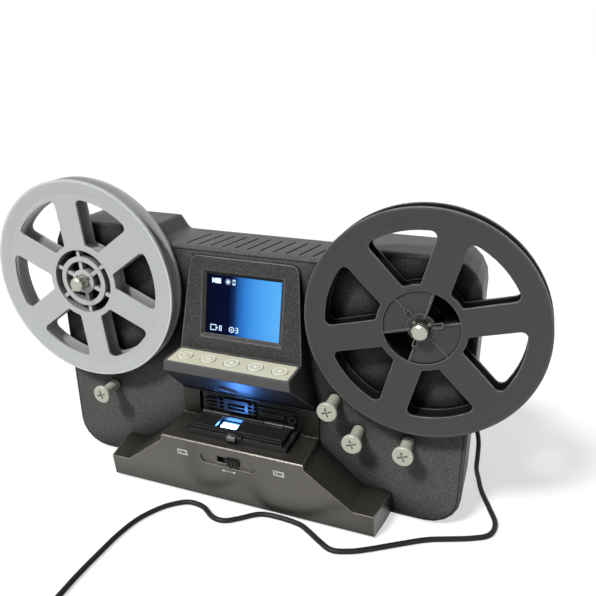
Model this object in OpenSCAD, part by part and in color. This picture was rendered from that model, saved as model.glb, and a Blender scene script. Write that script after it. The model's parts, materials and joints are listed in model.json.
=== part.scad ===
// Desktop scanner for 8 mm film: two reels on an upright body, a tilted screen over a key shelf,
// and a hinged film gate on a low table under the shelf. Millimetres, +Z up, front towards -Y.

/* [Body] */
// Width over the covers
body_w = 266; // [262:1:280]
// Height of the two ears
body_top = 167; // [164:0.5:172]
// Depth from the front face to the rear face
body_d = 45; // [44:0.5:52]
// Height of the dipped middle of the top edge
dip_z = 158.5; // [157:0.5:160]
// Half width of the dip's floor
dip_half = 56; // [50:1:58]
// Sideways run of the slope up to each ear
dip_run = 6; // [4:0.5:8]
// Radius of the covers' corners
body_r = 20; // [16:0.5:22]
// Wall of both covers
cover_wall = 2.5; // [2:0.1:3]
// Depth of the front cover from its face to the seam
front_d = 3.5; // [3.2:0.1:4.5]
// Round of the front cover's edge
front_round = 1.6; // [1:0.1:2]
// Round of the rear cover's edge
rear_round = 9; // [6:0.5:10]
// Height of the feet
foot_h = 1.5; // [1.2:0.1:3]
// Diameter of the feet
foot_dia = 12; // [8:0.5:13]
// Number of vent slots in the top
vent_count = 11; // [7:1:12]
// Spacing of the vent slots
vent_pitch = 8; // [6:0.5:8.5]
// Width of a vent slot
vent_w = 1.2; // [0.8:0.1:2]
// Length of a vent slot
vent_len = 24; // [14:1:26]
// Slant of the vent slots, in degrees
vent_slant = 12; // [0:1:20]

/* [Reels] */
// Diameter of a reel
reel_dia = 127; // [120:0.5:127.5]
// Width of a reel over its flanges
reel_w = 11.8; // [11:0.1:13]
// Sideways distance of each reel's axis from the middle
reel_x = 105; // [104:0.5:110]
// Height of the reel axes
reel_z = 132; // [130:0.5:134]
// Gap between a reel and the front cover
reel_gap = 1.2; // [1:0.1:2]
// Thickness of a flange's plate
flange_t = 1.3; // [1:0.1:1.6]
// Thickness of a flange's rim
rim_t = 1.9; // [1.7:0.1:2.2]
// Width of a flange's rim
rim_w = 2; // [1.5:0.1:3]
// Outer radius of the flange windows
window_out_r = 52; // [46:0.5:54]
// Inner radius of the flange windows
window_in_r = 24; // [23.5:0.5:28]
// Width of the spokes between the windows
spoke_w = 15.5; // [12:0.5:18]
// Outer radius of the film hub
hub_r = 22.4; // [21.8:0.1:23]
// Radius of the hub's open middle
hub_bore_r = 20.3; // [19:0.1:20.8]
// Radius of the hub's core
core_r = 7.6; // [7:0.1:8.5]
// Thickness of the hub's web and ribs
web_t = 1.6; // [1.2:0.1:2.2]

/* [Spindles] */
// Diameter of a spindle
spindle_dia = 8.6; // [8:0.1:9]
// Running clearance on the radius of each bearing
run_clear = 0.04; // [0.02:0.01:0.08]
// Outer diameter of a spindle bush
bush_dia = 12.4; // [12:0.1:13]
// Length of a spindle bush
bush_len = 9; // [7:0.5:10]
// Diameter of the spindle's shoulder
shoulder_dia = 20; // [18:0.5:22]
// Width of a spindle's drive keys
key_w = 1.8; // [1.4:0.1:2.2]
// Height of a drive key above the spindle
key_h = 1.2; // [0.8:0.1:1.4]
// Length of the spindle's tip ahead of the reel
tip_len = 7; // [5:0.5:9]
// Teeth of the take-up gear
gear_teeth = 48; // [48]
// Teeth of the motor pinion
pinion_teeth = 16; // [16]
// Face width of the take-up gears
gear_w = 6; // [4:0.5:7]
// Diameter of the take-up motor
motor_dia = 24; // [20:0.5:25]
// Length of the take-up motor
motor_len = 20; // [16:0.5:21]

/* [Film guides] */
// Diameter of a guide roller's head
head_dia = 12; // [10:0.5:13]
// Thickness of a guide roller's head
head_t = 2; // [1.6:0.1:2.6]
// Diameter of a guide roller's stem
stem_dia = 7; // [6:0.5:8]
// Length of a guide roller
roller_len = 16.3; // [15:0.1:18]
// Diameter of a guide pin
pin_dia = 3; // [2.5:0.1:3.5]

/* [Screen and keys] */
// Height of the top of the bezel
bezel_top = 154; // [152:0.5:156]
// Half width of the bezel's top
bezel_half = 34; // [33:0.5:36]
// Height of the key shelf
shelf_z = 98; // [96:0.5:99]
// Depth of the key shelf
shelf_d = 20; // [19:0.5:21]
// Half width of the key shelf
shelf_half = 39; // [38:0.5:41]
// Distance that the shelf's front stands ahead of the front cover
shelf_reach = 31; // [30.5:0.25:32]
// Height of the shelf's front lip
lip_h = 6.5; // [6:0.5:8]
// Height of the foot of the sloping underside
under_z = 64; // [62:0.5:66]
// Half width of the housing at the foot of its underside
under_half = 46; // [44:0.5:48]
// Wall of the screen housing
housing_wall = 2.2; // [1.8:0.1:2.6]
// Width of the visible screen
screen_w = 47.5; // [44:0.5:50]
// Height of the visible screen
screen_h = 35.6; // [32:0.2:37]
// Distance of the screen's middle up the tilted face
screen_up = 28.4; // [27:0.2:29]
// Width of the bevel round the screen
bevel_w = 2.2; // [1:0.1:2.6]
// Diameter of a button
button_dia = 9; // [8:0.1:9.6]
// Distance of the end buttons' middles from the ends of the button strip
key_end = 7.6; // [7:0.1:9]
// Travel of a button
button_travel = 0.5; // [0.3:0.05:0.6]
// Thickness of the button strip
strip_t = 1.2; // [0.8:0.1:1.4]

/* [Base and gate] */
// Half width of the base at its front
base_half = 88.5; // [86:0.5:90]
// Extra half width of the base at the front cover
base_flare = 4.5; // [2:0.5:6]
// Height of the film table
table_z = 45; // [44:0.5:46]
// Half width of the film table
table_half = 46.5; // [46:0.25:48]
// Height of the base's low wings
wing_z = 17.5; // [15:0.5:20]
// Half width at the foot of the slopes
slope_half = 75.5; // [70:0.5:78]
// Distance of the table's front edge ahead of the front cover
table_reach = 30; // [29:0.5:30.5]
// Distance of the base's lower edge ahead of the front cover
base_reach = 24; // [23:0.5:26]
// Wall of the base housing
base_wall = 2.2; // [1.8:0.1:2.6]
// Half width of the film cavity
cavity_half = 34; // [33:0.5:35]
// Height of the film cavity
cavity_h = 18; // [16:0.5:18.5]
// Depth of the film cavity behind the front cover's face
cavity_d = 20; // [16:0.5:22]
// Half width of the gate plate
gate_half = 33.5; // [32:0.5:34]
// Depth of the gate plate
gate_d = 20.5; // [20:0.5:21]
// Thickness of the gate plate
gate_t = 2.5; // [2.2:0.1:3]
// Thickness of the gate door
door_t = 2; // [1.6:0.1:2.2]
// Diameter of the door's hinge pin
hinge_dia = 1.6; // [1.4:0.1:1.8]
// Sideways place of the picture window
window_x = -9; // [-11:0.5:-7]
// Width of the lit picture window
light_w = 12; // [10:0.5:13]
// Depth of the lit picture window
light_d = 9; // [7:0.5:9.5]
// Width of the film channel
film_w = 8.2; // [8.1:0.1:8.4]
// Throw of the film claw to each side
claw_throw = 2.1; // [1.5:0.1:2.4]
// Travel of the film-type slider
select_travel = 6; // [4:0.5:6]
// Width of the film-type slider's knob
knob_w = 8.5; // [7:0.5:9]
// Diameter of the cord
cord_dia = 3.2; // [2.8:0.1:3.4]

/* [Hidden] */
$fn = 48;

// Gap between pieces that move past each other
slip = 0.3;
// Gap round a piece that is pressed or dropped into its seat
seat = 0.05;
face_y = -7;
seam_y = face_y + front_d;
rear_y = face_y + body_d;
inner_front_y = face_y + cover_wall;
inner_rear_y = rear_y - cover_wall;
inner_floor_z = foot_h + cover_wall;
reel_back_y = face_y - reel_gap;
reel_front_y = reel_back_y - reel_w;
reel_r = reel_dia / 2;
boss_end_y = inner_front_y + 8;
board_t = 1.6;
plastic = [0.17, 0.17, 0.17];
dark = [0.1, 0.1, 0.1];
grey = [0.4, 0.39, 0.36];
board_green = [0.1, 0.35, 0.2];
metal = [0.75, 0.75, 0.7];

function unit(v) = v / norm(v);
function edge_normal(a, b) = let (d = unit(b - a)) [d[1], -d[0]];
// A counter-clockwise outline drawn in by d on every side
function inset(p, d) = let (n = len(p)) [for (i = [0:n - 1])
    let (a = edge_normal(p[(i + n - 1) % n], p[i]), b = edge_normal(p[i], p[(i + 1) % n]))
    p[i] - d * (a + b) / (1 + a * b)];
function short_turn(w) = w > 180 ? w - 360 : w < -180 ? w + 360 : w;
// The points of one rounded corner at b, between its neighbours a and c
function corner(a, b, c, r, n) = r <= 0 ? [b] :
    let (u = unit(a - b), v = unit(c - b), h = acos(u * v) / 2, m = b + unit(u + v) * r / sin(h),
        p = b + u * r / tan(h) - m, q = b + v * r / tan(h) - m, s = atan2(p[1], p[0]),
        w = short_turn(atan2(q[1], q[0]) - s))
    [for (k = [0:n]) m + r * [cos(s + w * k / n), sin(s + w * k / n)]];
function rounded(p, r, n = 5) = let (k = len(p)) [for (i = [0:k - 1])
    each corner(p[(i + k - 1) % k], p[i], p[(i + 1) % k], is_list(r) ? r[i] : r, n)];
function box2(x0, x1, y0, y1) = [[x0, y0], [x1, y0], [x1, y1], [x0, y1]];
function mirrored(p) = concat(p, [for (i = [len(p) - 1:-1:0]) [-p[i][0], p[i][1]]]);

// Extrusions of outlines drawn in the front view, the side view and the plan
module front_slab(y0, y1) {
    translate([0, y1, 0]) rotate([90, 0, 0]) linear_extrude(y1 - y0) children();
}
module side_slab(x0, x1) {
    translate([x0, 0, 0]) rotate([90, 0, 90]) linear_extrude(x1 - x0) children();
}
module plan_slab(z0, z1) {
    translate([0, 0, z0]) linear_extrude(z1 - z0) children();
}
// A block from its low corner to its high corner
module block(a, b) {
    translate(a) cube(b - a);
}
// Local z runs from y towards the front, with the front view's x and z as local x and y
module facing(x, y, z) {
    translate([x, y, z]) rotate([90, 0, 0]) children();
}
// A round bar along Y from y0 to y1
module rod_y(x, z, y0, y1, d) {
    facing(x, y1, z) cylinder(d = d, h = y1 - y0);
}
module tube_y(x, z, y0, y1, d, bore) {
    difference() {
        rod_y(x, z, y0, y1, d);
        rod_y(x, z, y0 - 1, y1 + 1, bore);
    }
}
// A skin over rings that all have the same number of points, closed at both ends by the faces in cap
module loft(rings, cap = undef) {
    n = len(rings[0]);
    m = len(rings);
    ends = is_undef(cap) ? [[for (i = [0:n - 1]) i]] : cap;
    polyhedron([for (r = rings) each r], concat(
        [for (f = ends) [for (i = [len(f) - 1:-1:0]) f[i]]], [for (f = ends) [for (i = f) (m - 1) * n + i]],
        [for (k = [0:m - 2], i = [0:n - 1]) let (j = (i + 1) % n)
            each [[k * n + i, k * n + j, k * n + n + i], [k * n + j, k * n + n + j, k * n + n + i]]]));
}

// Covers
ear_half = dip_half + dip_run;
cover_corners = [[-body_w / 2, foot_h], [body_w / 2, foot_h], [body_w / 2, body_top],
    [ear_half, body_top], [dip_half, dip_z], [-dip_half, dip_z], [-ear_half, body_top],
    [-body_w / 2, body_top]];
// Rounds of the ears' inner corners and of the dip's corners
ear_r = 3;
dip_r = 4;
function cover_radii(d) = [for (r = [body_r, body_r, body_r, ear_r, -dip_r, -dip_r, ear_r, body_r])
    r > 0 ? max(r - d, 0.4) : d - r];
// The end faces of the covers: a plain middle, and each ear as a fan from its outer side
corner_steps = 5;
cover_cap = let (k = corner_steps + 1, a = 2 * k, b = 5 * k - 1, c = 5 * k, e = 8 * k - 1) concat(
    [concat([for (i = [0:a]) i], [b, c, e])],
    [for (i = [a + 1:b - 1]) [a, i, i + 1]], [for (i = [c:e - 2]) [e, i, i + 1]]);
function cover_ring(d, y) = [for (p = rounded(inset(cover_corners, d), cover_radii(d), corner_steps)) [p[0], y, p[1]]];
// Rings of a shell whose far edge at y1 is rounded by r, seen from the side that the edge faces
function edge_rings(y0, y1, r, d, steps) = let (s = sign(y1 - y0)) concat([cover_ring(d, y0)],
    [for (k = [0:steps]) cover_ring(d + r * (1 - cos(90 * k / steps)),
        y1 - s * r * (1 - sin(90 * k / steps)))]);
// Length by which a cover's loft runs on past the seam, before it is cut off there
loft_over = 6;
function reversed(v) = [for (i = [len(v) - 1:-1:0]) v[i]];

// The cover screws keep to the covers' corners
screw_half = body_w / 2 - 13;
screw_places = [[-screw_half, 20], [screw_half, 20], [-screw_half, body_top - 16],
    [screw_half, body_top - 16],
    [-44, 30], [44, 110]];
screw_post_dia = 7;
screw_dia = 2.8;
screw_head_dia = 5.6;
screw_head_t = 1.2;
// The take-up gear is as large as the ear's width beside the reel's axis lets it be
gear_m = (body_w / 2 - reel_x) / 40;
motor_x = reel_x - gear_m * (gear_teeth + pinion_teeth) / 2;
bracket_y = boss_end_y + gear_w + 1.6;
bracket_t = 1.5;
bracket_posts = [[motor_x - 9.6, reel_z - 10], [motor_x - 9.6, reel_z + 10],
    [motor_x + 4.4, reel_z - 17], [motor_x + 4.4, reel_z + 17]];
bracket_post_dia = 5;
// Edge of the bracket round its posts
bracket_edge = 4;
// The outer guide rollers keep under the reels
guide_places = [[6 - reel_x, 55], [reel_x - 49, 74], [reel_x - 34, 56], [reel_x - 4.5, 55]];
guide_flange_t = 1.5;
opening_low_half = cavity_half + 2.4;
opening_high_half = bezel_half - housing_wall - 0.3;
opening_low_z = 22;
opening_top_z = bezel_top - 6;

module front_cover() color(plastic) difference() {
    union() {
        difference() {
            intersection() {
                loft(reversed(edge_rings(seam_y + loft_over, face_y, front_round, 0, 3)), cover_cap);
                block([-body_w, face_y - 1, -1], [body_w, seam_y, body_top + 1]);
            }
            front_slab(inner_front_y, seam_y + 1)
                polygon(rounded(inset(cover_corners, cover_wall), cover_radii(cover_wall)));
        }
        for (s = [-1, 1])
            rod_y(s * reel_x, reel_z, inner_front_y - 0.5, boss_end_y, bush_dia + 5);
        for (p = screw_places)
            rod_y(p[0], p[1], inner_front_y - 0.5, inner_rear_y - slip, screw_post_dia);
        for (p = bracket_posts)
            rod_y(p[0], p[1], inner_front_y - 0.5, bracket_y, bracket_post_dia);
        for (p = guide_places)
            rod_y(p[0], p[1], inner_front_y - 0.5, inner_front_y + 2, pin_dia + 6);
    }
    for (s = [-1, 1]) {
        rod_y(s * reel_x, reel_z, face_y - 1, boss_end_y + 1, bush_dia + 2 * seat);
        rod_y(s * reel_x, reel_z, face_y - 1, face_y + 1.3, shoulder_dia + 2 * slip);
    }
    for (p = screw_places)
        rod_y(p[0], p[1], inner_rear_y - 14, inner_rear_y, screw_dia + 2 * seat);
    for (p = guide_places)
        rod_y(p[0], p[1], face_y - 1, inner_front_y + 3, pin_dia + 2 * seat);
    front_slab(face_y - 1, seam_y + 1) polygon(mirrored([[opening_low_half, opening_low_z],
        [opening_low_half, under_z + 2], [opening_high_half, under_z + 8],
        [opening_high_half, opening_top_z]]));
}

jack_x = body_w / 2 - 21;
jack_z = 36;
card_x = 60;
jack_board_z = jack_z - 8;
card_w = 26;
card_t = 3;
barrel_dia = 5.5;
board_half = 30;
board_z = [76, 144];
board_y = 20;
board_posts = [for (x = [-1, 1], z = board_z) [x * (board_half - 4), z + (z < 100 ? 4 : -4)]];
jack_board_x = [44, jack_x + 4];
jack_board_y = [10, inner_rear_y - slip];
jack_posts = [for (x = jack_board_x, y = jack_board_y) [x + (x < 80 ? 5 : -5), y + (y < 20 ? 4 : -4)]];

module rear_cover() color(dark) difference() {
    union() {
        difference() {
            intersection() {
                loft(edge_rings(seam_y - loft_over, rear_y, rear_round, 0, 4), cover_cap);
                block([-body_w, seam_y, -1], [body_w, rear_y + 1, body_top + 1]);
            }
            loft(edge_rings(seam_y - loft_over - 1, inner_rear_y, rear_round - cover_wall, cover_wall, 4),
                cover_cap);
        }
        for (p = board_posts)
            rod_y(p[0], p[1], board_y + board_t, inner_rear_y + 0.5, 6);
        for (p = jack_posts)
            translate([p[0], p[1], inner_floor_z - 0.5])
                cylinder(d = 5, h = jack_board_z - inner_floor_z + 0.5);
    }
    for (i = [0:vent_count - 1])
        translate([(i - (vent_count - 1) / 2) * vent_pitch, seam_y + 2, dip_z - cover_wall - 1])
            rotate([0, 0, -vent_slant]) translate([-vent_w / 2, 0, 0])
                cube([vent_w, vent_len, cover_wall + 2]);
    for (p = screw_places) {
        rod_y(p[0], p[1], inner_rear_y - 1, rear_y + 1, screw_dia + 2 * slip);
        rod_y(p[0], p[1], rear_y - screw_head_t, rear_y + 1, screw_head_dia + 2 * slip);
    }
    rod_y(jack_x, jack_z, inner_rear_y - 1, rear_y + 1, barrel_dia + 1.6);
    block([card_x - card_w / 2 + 0.6, inner_rear_y - 1, jack_board_z + board_t],
        [card_x + card_w / 2 - 0.6, rear_y + 1, jack_board_z + board_t + card_t]);
}

module feet() color(dark) {
    for (p = [for (s = [-1, 1]) each [[s * (base_half - 12.5), face_y - 13],
        [s * (body_w / 2 - 27), face_y + 26]]])
        translate([p[0], p[1], 0]) cylinder(d = foot_dia, h = foot_h);
}

module screws() color(metal) {
    for (p = screw_places) facing(p[0], rear_y - 0.2, p[1]) union() {
        cylinder(d = screw_head_dia, h = screw_head_t - 0.2);
        cylinder(d = screw_dia, h = 12);
    }
}

// Base: low wings, slopes up to the film table, and a column with the film cavity
table_y = face_y - table_reach;
foot_y = face_y - base_reach;
base_lean = atan2(table_reach - base_reach, table_z - foot_h);
cavity_top = table_z + cavity_h;
cavity_y = face_y + cavity_d;
column_t = 1.2;
base_front_outline = mirrored([[base_half + base_flare, foot_h], [base_half + base_flare, wing_z],
    [slope_half, wing_z], [table_half + 0.5, table_z - 4], [table_half, table_z]]);
// The side view and the plan run on behind the front cover, and each form is cut off at its own back
base_back = face_y + 10;
base_nose_half = base_half - 1.3;
base_spread = (base_half + base_flare - base_nose_half) / (table_reach + 1);
base_side_outline = [[foot_y, foot_h], [base_back, foot_h], [base_back, table_z], [table_y, table_z]];
base_plan = mirrored([[base_nose_half, table_y - 1],
    [base_half + base_flare + base_spread * (base_back - face_y), base_back]]);

module base_form(d, back) {
    intersection() {
        front_slab(table_y - 2, back)
            polygon(rounded(inset(base_front_outline, d), [2, 2, 3, 3, 1.2, 1.2, 3, 3, 2, 2], 3));
        side_slab(-base_half - 20, base_half + 20)
            polygon(rounded(inset(base_side_outline, d), [1, 0.5, 0.5, 1.2], 3));
        plan_slab(0, table_z + 1) polygon(inset(base_plan, d));
    }
}

gate_y = face_y - 1.5;
gate_front = gate_y - gate_d;
film_y = gate_y - gate_d / 2 + 0.5;
claw_x = 18;
claw_y = film_y - film_w / 2 + 1;
yoke_y = claw_y + 7;
rail_z = table_z - base_wall;
claw_z = rail_z - 0.4;
claw_t = 1.4;
claw_half = claw_throw * 2 + 1 + 2 * slip;
diffuser_rim = 2;
led_board_z = table_z - 7;
led_half = 11;
select_up = 33.3;
select_slot_w = knob_w + select_travel + 2 * slip;
select_x = 1;
select_mid = select_x - select_travel / 2;
// Local axes on the base's leaning front: x across, y into the base, z up the face
module on_base_front() {
    translate([0, foot_y, foot_h]) rotate([base_lean, 0, 0]) children();
}

module base_housing() color(grey) difference() {
    union() {
        difference() {
            base_form(0, face_y);
            base_form(base_wall, face_y + 1);
            block([-base_half + base_wall, foot_y + base_wall + 1, 0],
                [base_half - base_wall, face_y + 1, foot_h + base_wall + 0.1]);
        }
        front_slab(face_y - column_t, face_y)
            polygon(mirrored([[table_half, table_z - 1], [under_half, under_z - slip]]));
        block([-cavity_half - 2, face_y - column_t, rail_z], [cavity_half + 2, face_y, under_z - slip]);
        block([-cavity_half - 2, face_y - 0.5, rail_z], [cavity_half + 2, cavity_y + 2, under_z - slip]);
        block([-cavity_half - 2, face_y + slip, rail_z], [cavity_half + 2, cavity_y + 2, cavity_top + 1.5]);
        for (s = [-1, 1]) {
            block([claw_x - 7, yoke_y + s * 11 - 1, claw_z - 3],
                [claw_x + 7, yoke_y + s * 11 + 1, rail_z + 0.5]);
            block([claw_x - 7, yoke_y + s * 9.8 - 1.2, claw_z - 3],
                [claw_x + 7, yoke_y + s * 9.8 + 1.2, claw_z - claw_t - slip]);
            translate([window_x + s * (led_half - 2), film_y, led_board_z])
                cylinder(d = 3, h = rail_z - led_board_z + 0.5);
        }
    }
    block([-cavity_half, face_y - column_t - 1, table_z], [cavity_half, cavity_y, cavity_top]);
    block([window_x - light_w / 2, film_y - light_d / 2, rail_z - 1],
        [window_x + light_w / 2, film_y + light_d / 2, table_z + 1]);
    block([claw_x - claw_throw - 1.6, claw_y - 0.9, rail_z - 1],
        [claw_x + claw_throw + 1.6, claw_y + 0.9, table_z + 1]);
    on_base_front() {
        translate([0, 0.8, select_up]) rotate([90, 0, 0]) linear_extrude(3) for (s = [-1, 1]) {
            translate([select_mid + s * 14.2, 0]) circle(d = 9);
            translate([select_mid - 14.2, -4.5]) square([28.4, 9]);
        }
        block([select_mid - select_slot_w / 2, -1, select_up - 2.4],
            [select_mid + select_slot_w / 2, base_wall + 1, select_up + 2.4]);
    }
}

module base_plate() color(dark) intersection() {
    plan_slab(foot_h, foot_h + 2) polygon(inset(base_plan, base_wall + slip));
    block([-base_half + base_wall + slip, foot_y + base_wall + 1 + slip, 0],
        [base_half - base_wall - slip, face_y - seat, 20]);
}

// Screen housing: tilted bezel, key shelf and sloping underside
shelf_y = face_y - shelf_reach;
bend_y = shelf_y + shelf_d;
bezel_y = face_y - 0.8;
tilt = atan2(bezel_y - bend_y, bezel_top - shelf_z);
lip_z = shelf_z - lip_h;
housing_front = mirrored([[under_half, under_z], [shelf_half + 0.7, lip_z], [shelf_half, shelf_z],
    [bezel_half, bezel_top]]);
// The side view runs on behind the front cover, and each form is cut off at its own back
housing_back = face_y + 10;
housing_side = [[housing_back, under_z], [housing_back, bezel_top], [bezel_y, bezel_top], [bend_y, shelf_z],
    [shelf_y, shelf_z], [shelf_y, lip_z], [bezel_y, under_z]];
module housing_form(d, back) {
    intersection() {
        front_slab(shelf_y - 2, back)
            polygon(rounded(inset(housing_front, d), [0, 0, 0, 5 - d, 5 - d, 0, 0, 0], 4));
        side_slab(-under_half - 2, under_half + 2)
            polygon(rounded(inset(housing_side, d), [0, 0, 0, 0, 0.8, 0.8, 0], 3));
    }
}
// Local axes on the bezel's tilted face: x across, y into the housing, z up the face
module on_bezel() {
    translate([0, bend_y, shelf_z]) rotate([-tilt, 0, 0]) children();
}
strip_mid_y = shelf_y + shelf_d / 2 - 0.4;
strip_half = shelf_half - 1.4;
button_pitch = (strip_half - key_end) / 2;
strip_half_d = shelf_d / 2 - 1.4;
shelf_floor_z = shelf_z - strip_t - 1.5;
flange_dia = button_dia + 1.6;
keypad_z = shelf_floor_z - 0.7 - board_t;
camera_x = window_x;
camera_dia = 12;
camera_z = [80, 90];
sensor_half = 13;
sensor_posts = [for (s = [-1, 1]) [camera_x + s * (sensor_half - 2), film_y + 7]];
slope_rise = (lip_z - under_z) / (bezel_y - shelf_y);
function under_at(y) = lip_z - slope_rise * (y - shelf_y);

module screen_housing() color(plastic) difference() {
    union() {
        difference() {
            housing_form(0, face_y);
            housing_form(housing_wall, face_y + 1);
        }
        intersection() {
            housing_form(0, face_y);
            block([-shelf_half, shelf_y, shelf_floor_z], [shelf_half, bend_y + 1, shelf_z]);
        }
        for (p = sensor_posts)
            translate([p[0], p[1], under_at(p[1]) + 1]) cylinder(d = 4, h = camera_z[1] - under_at(p[1]) - 1);
        for (x = [-1, 1], y = [-1, 1])
            translate([x * (strip_half - 2.5), strip_mid_y + y * 5, keypad_z + board_t])
                cylinder(d = 3, h = shelf_floor_z - keypad_z - board_t + 0.5);
    }
    block([-strip_half - 0.1, strip_mid_y - strip_half_d - 0.1, shelf_z - strip_t],
        [strip_half + 0.1, strip_mid_y + strip_half_d + 0.1, shelf_z + 1]);
    for (i = [-2:2])
        translate([i * button_pitch, strip_mid_y, shelf_floor_z - 1])
            cylinder(d = flange_dia + 2 * slip, h = 6);
    translate([camera_x, film_y, under_z]) cylinder(d = camera_dia + 2 * slip, h = camera_z[1] - under_z - 1);
    on_bezel() {
        block([-screen_w / 2, -2, screen_up - screen_h / 2],
            [screen_w / 2, housing_wall * 2, screen_up + screen_h / 2]);
        loft([for (k = [0, 1]) [for (p = box2(-screen_w / 2 - bevel_w * (1 - k),
            screen_w / 2 + bevel_w * (1 - k),
            -screen_h / 2 - bevel_w * (1 - k), screen_h / 2 + bevel_w * (1 - k)))
            [p[0], k ? housing_wall - 0.4 : -0.01, screen_up + p[1]]]]);
    }
}

window_t = 1.2;
lcd_t = 2.8;
module screen_window() color([0.1, 0.12, 0.15]) on_bezel()
    block([-screen_w / 2 - 2, housing_wall, screen_up - screen_h / 2 - 2],
        [screen_w / 2 + 2, housing_wall + window_t, screen_up + screen_h / 2 + 2]);

module lcd_module() color([0.2, 0.45, 0.85]) on_bezel()
    block([-screen_w / 2 - 3, housing_wall + window_t, screen_up - screen_h / 2 - 3],
        [screen_w / 2 + 3, housing_wall + window_t + lcd_t, screen_up + screen_h / 2 + 3]);

module button_strip() color([0.78, 0.76, 0.66]) difference() {
    translate([0, strip_mid_y, shelf_z - strip_t]) linear_extrude(strip_t)
        polygon(rounded(box2(-strip_half, strip_half, -strip_half_d, strip_half_d), 1, 3));
    for (i = [-2:2])
        translate([i * button_pitch, strip_mid_y, shelf_z - 5]) cylinder(d = button_dia + 2 * slip, h = 10);
}

module keypad_board() color(board_green) union() {
    block([-strip_half + 1, strip_mid_y - 6.8, keypad_z],
        [strip_half - 1, strip_mid_y + 6.8, keypad_z + board_t]);
    for (i = [-2:2])
        translate([i * button_pitch, strip_mid_y, keypad_z + board_t]) cylinder(d = 4, h = 0.5);
}

// A key with a domed top and a flange under the strip
module key(i) color([0.74, 0.72, 0.62])
    translate([(i - 3) * button_pitch, strip_mid_y, keypad_z + board_t + 0.5 + button_travel + slip])
        rotate_extrude() {
            low = shelf_z - strip_t - slip - (keypad_z + board_t + 0.5 + button_travel + slip);
            top = low + slip + strip_t;
            polygon([[0, 0], [flange_dia / 2, 0], [flange_dia / 2, low], [button_dia / 2, low],
                [button_dia / 2, top], [button_dia / 2 - 0.5, top + 0.35], [0, top + 0.5]]);
        }
module button_1() key(1);
module button_2() key(2);
module button_3() key(3);
module button_4() key(4);
module button_5() key(5);

// Film gate
knuckle_r = 1.7;
hinge_y = gate_y - 0.9;
hinge_z = table_z + gate_t + knuckle_r + slip;
gate_knuckles = [[-31, -25], [25, 31]];
door_knuckles = [[-24.6, -12], [12, 24.6]];
door_half = gate_half - 3;
door_front = gate_front + 1.6;
tab_x = [-2, 5];
module knuckle(span, bore) {
    translate([span[0], hinge_y, hinge_z]) rotate([0, 90, 0]) difference() {
        cylinder(r = knuckle_r, h = span[1] - span[0]);
        translate([0, 0, -1]) cylinder(d = bore, h = span[1] - span[0] + 2);
    }
}

module gate_plate() color(dark) difference() {
    union() {
        block([-gate_half, gate_front, table_z], [gate_half, gate_y, table_z + gate_t]);
        for (x = [[-door_half, tab_x[0] - slip], [tab_x[1] + slip, door_half]])
            block([x[0], gate_front, table_z], [x[1], gate_front + 1.2, table_z + gate_t + 1.2]);
        for (k = gate_knuckles) {
            knuckle(k, hinge_dia + 2 * seat);
            difference() {
                block([k[0], hinge_y - 1, table_z + gate_t - 0.5], [k[1], hinge_y + 1, hinge_z]);
                translate([k[0] - 1, hinge_y, hinge_z]) rotate([0, 90, 0])
                    cylinder(r = knuckle_r - 0.2, h = 10);
            }
        }
    }
    block([-gate_half - 1, film_y - film_w / 2, table_z + gate_t - 0.6],
        [gate_half + 1, film_y + film_w / 2, table_z + gate_t + 0.1]);
    block([window_x - light_w / 2, film_y - light_d / 2, table_z - 1],
        [window_x + light_w / 2, film_y + light_d / 2, table_z + gate_t + 1]);
    block([claw_x - claw_throw - 1.6, claw_y - 0.9, table_z - 1],
        [claw_x + claw_throw + 1.6, claw_y + 0.9, table_z + gate_t + 1]);
}

module gate_door() color(dark) difference() {
    union() {
        block([-door_half + 0.8, door_front, table_z + gate_t + slip],
            [door_half - 0.8, hinge_y - knuckle_r - slip, table_z + gate_t + slip + door_t]);
        block([tab_x[0], gate_front - 1, table_z + gate_t + slip],
            [tab_x[1], door_front + 1, table_z + gate_t + slip + door_t]);
        for (k = door_knuckles) {
            knuckle(k, hinge_dia + 2 * run_clear);
            difference() {
                block([k[0], hinge_y - knuckle_r - slip - 1, hinge_z - 1], [k[1], hinge_y, hinge_z + 0.8]);
                translate([k[0] - 1, hinge_y, hinge_z]) rotate([0, 90, 0])
                    cylinder(r = knuckle_r - 0.2, h = 20);
            }
        }
        for (r = [[-1, door_half - 2], [1, door_knuckles[1][0] - 0.5]])
            block([-r[1], film_y + r[0] * (light_d / 2 + 1.7) - 0.5, table_z + gate_t + slip + 0.5],
                [r[1], film_y + r[0] * (light_d / 2 + 1.7) + 0.5, table_z + gate_t + slip + door_t + 0.6]);
    }
    block([window_x - light_w / 2 - 1, film_y - light_d / 2 - 1, table_z],
        [window_x + light_w / 2 + 1, film_y + light_d / 2 + 1, table_z + 20]);
    block([claw_x - claw_throw - 2, claw_y - 1.2, table_z],
        [claw_x + claw_throw + 2, claw_y + 1.2, table_z + gate_t + 1.2]);
}

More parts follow.
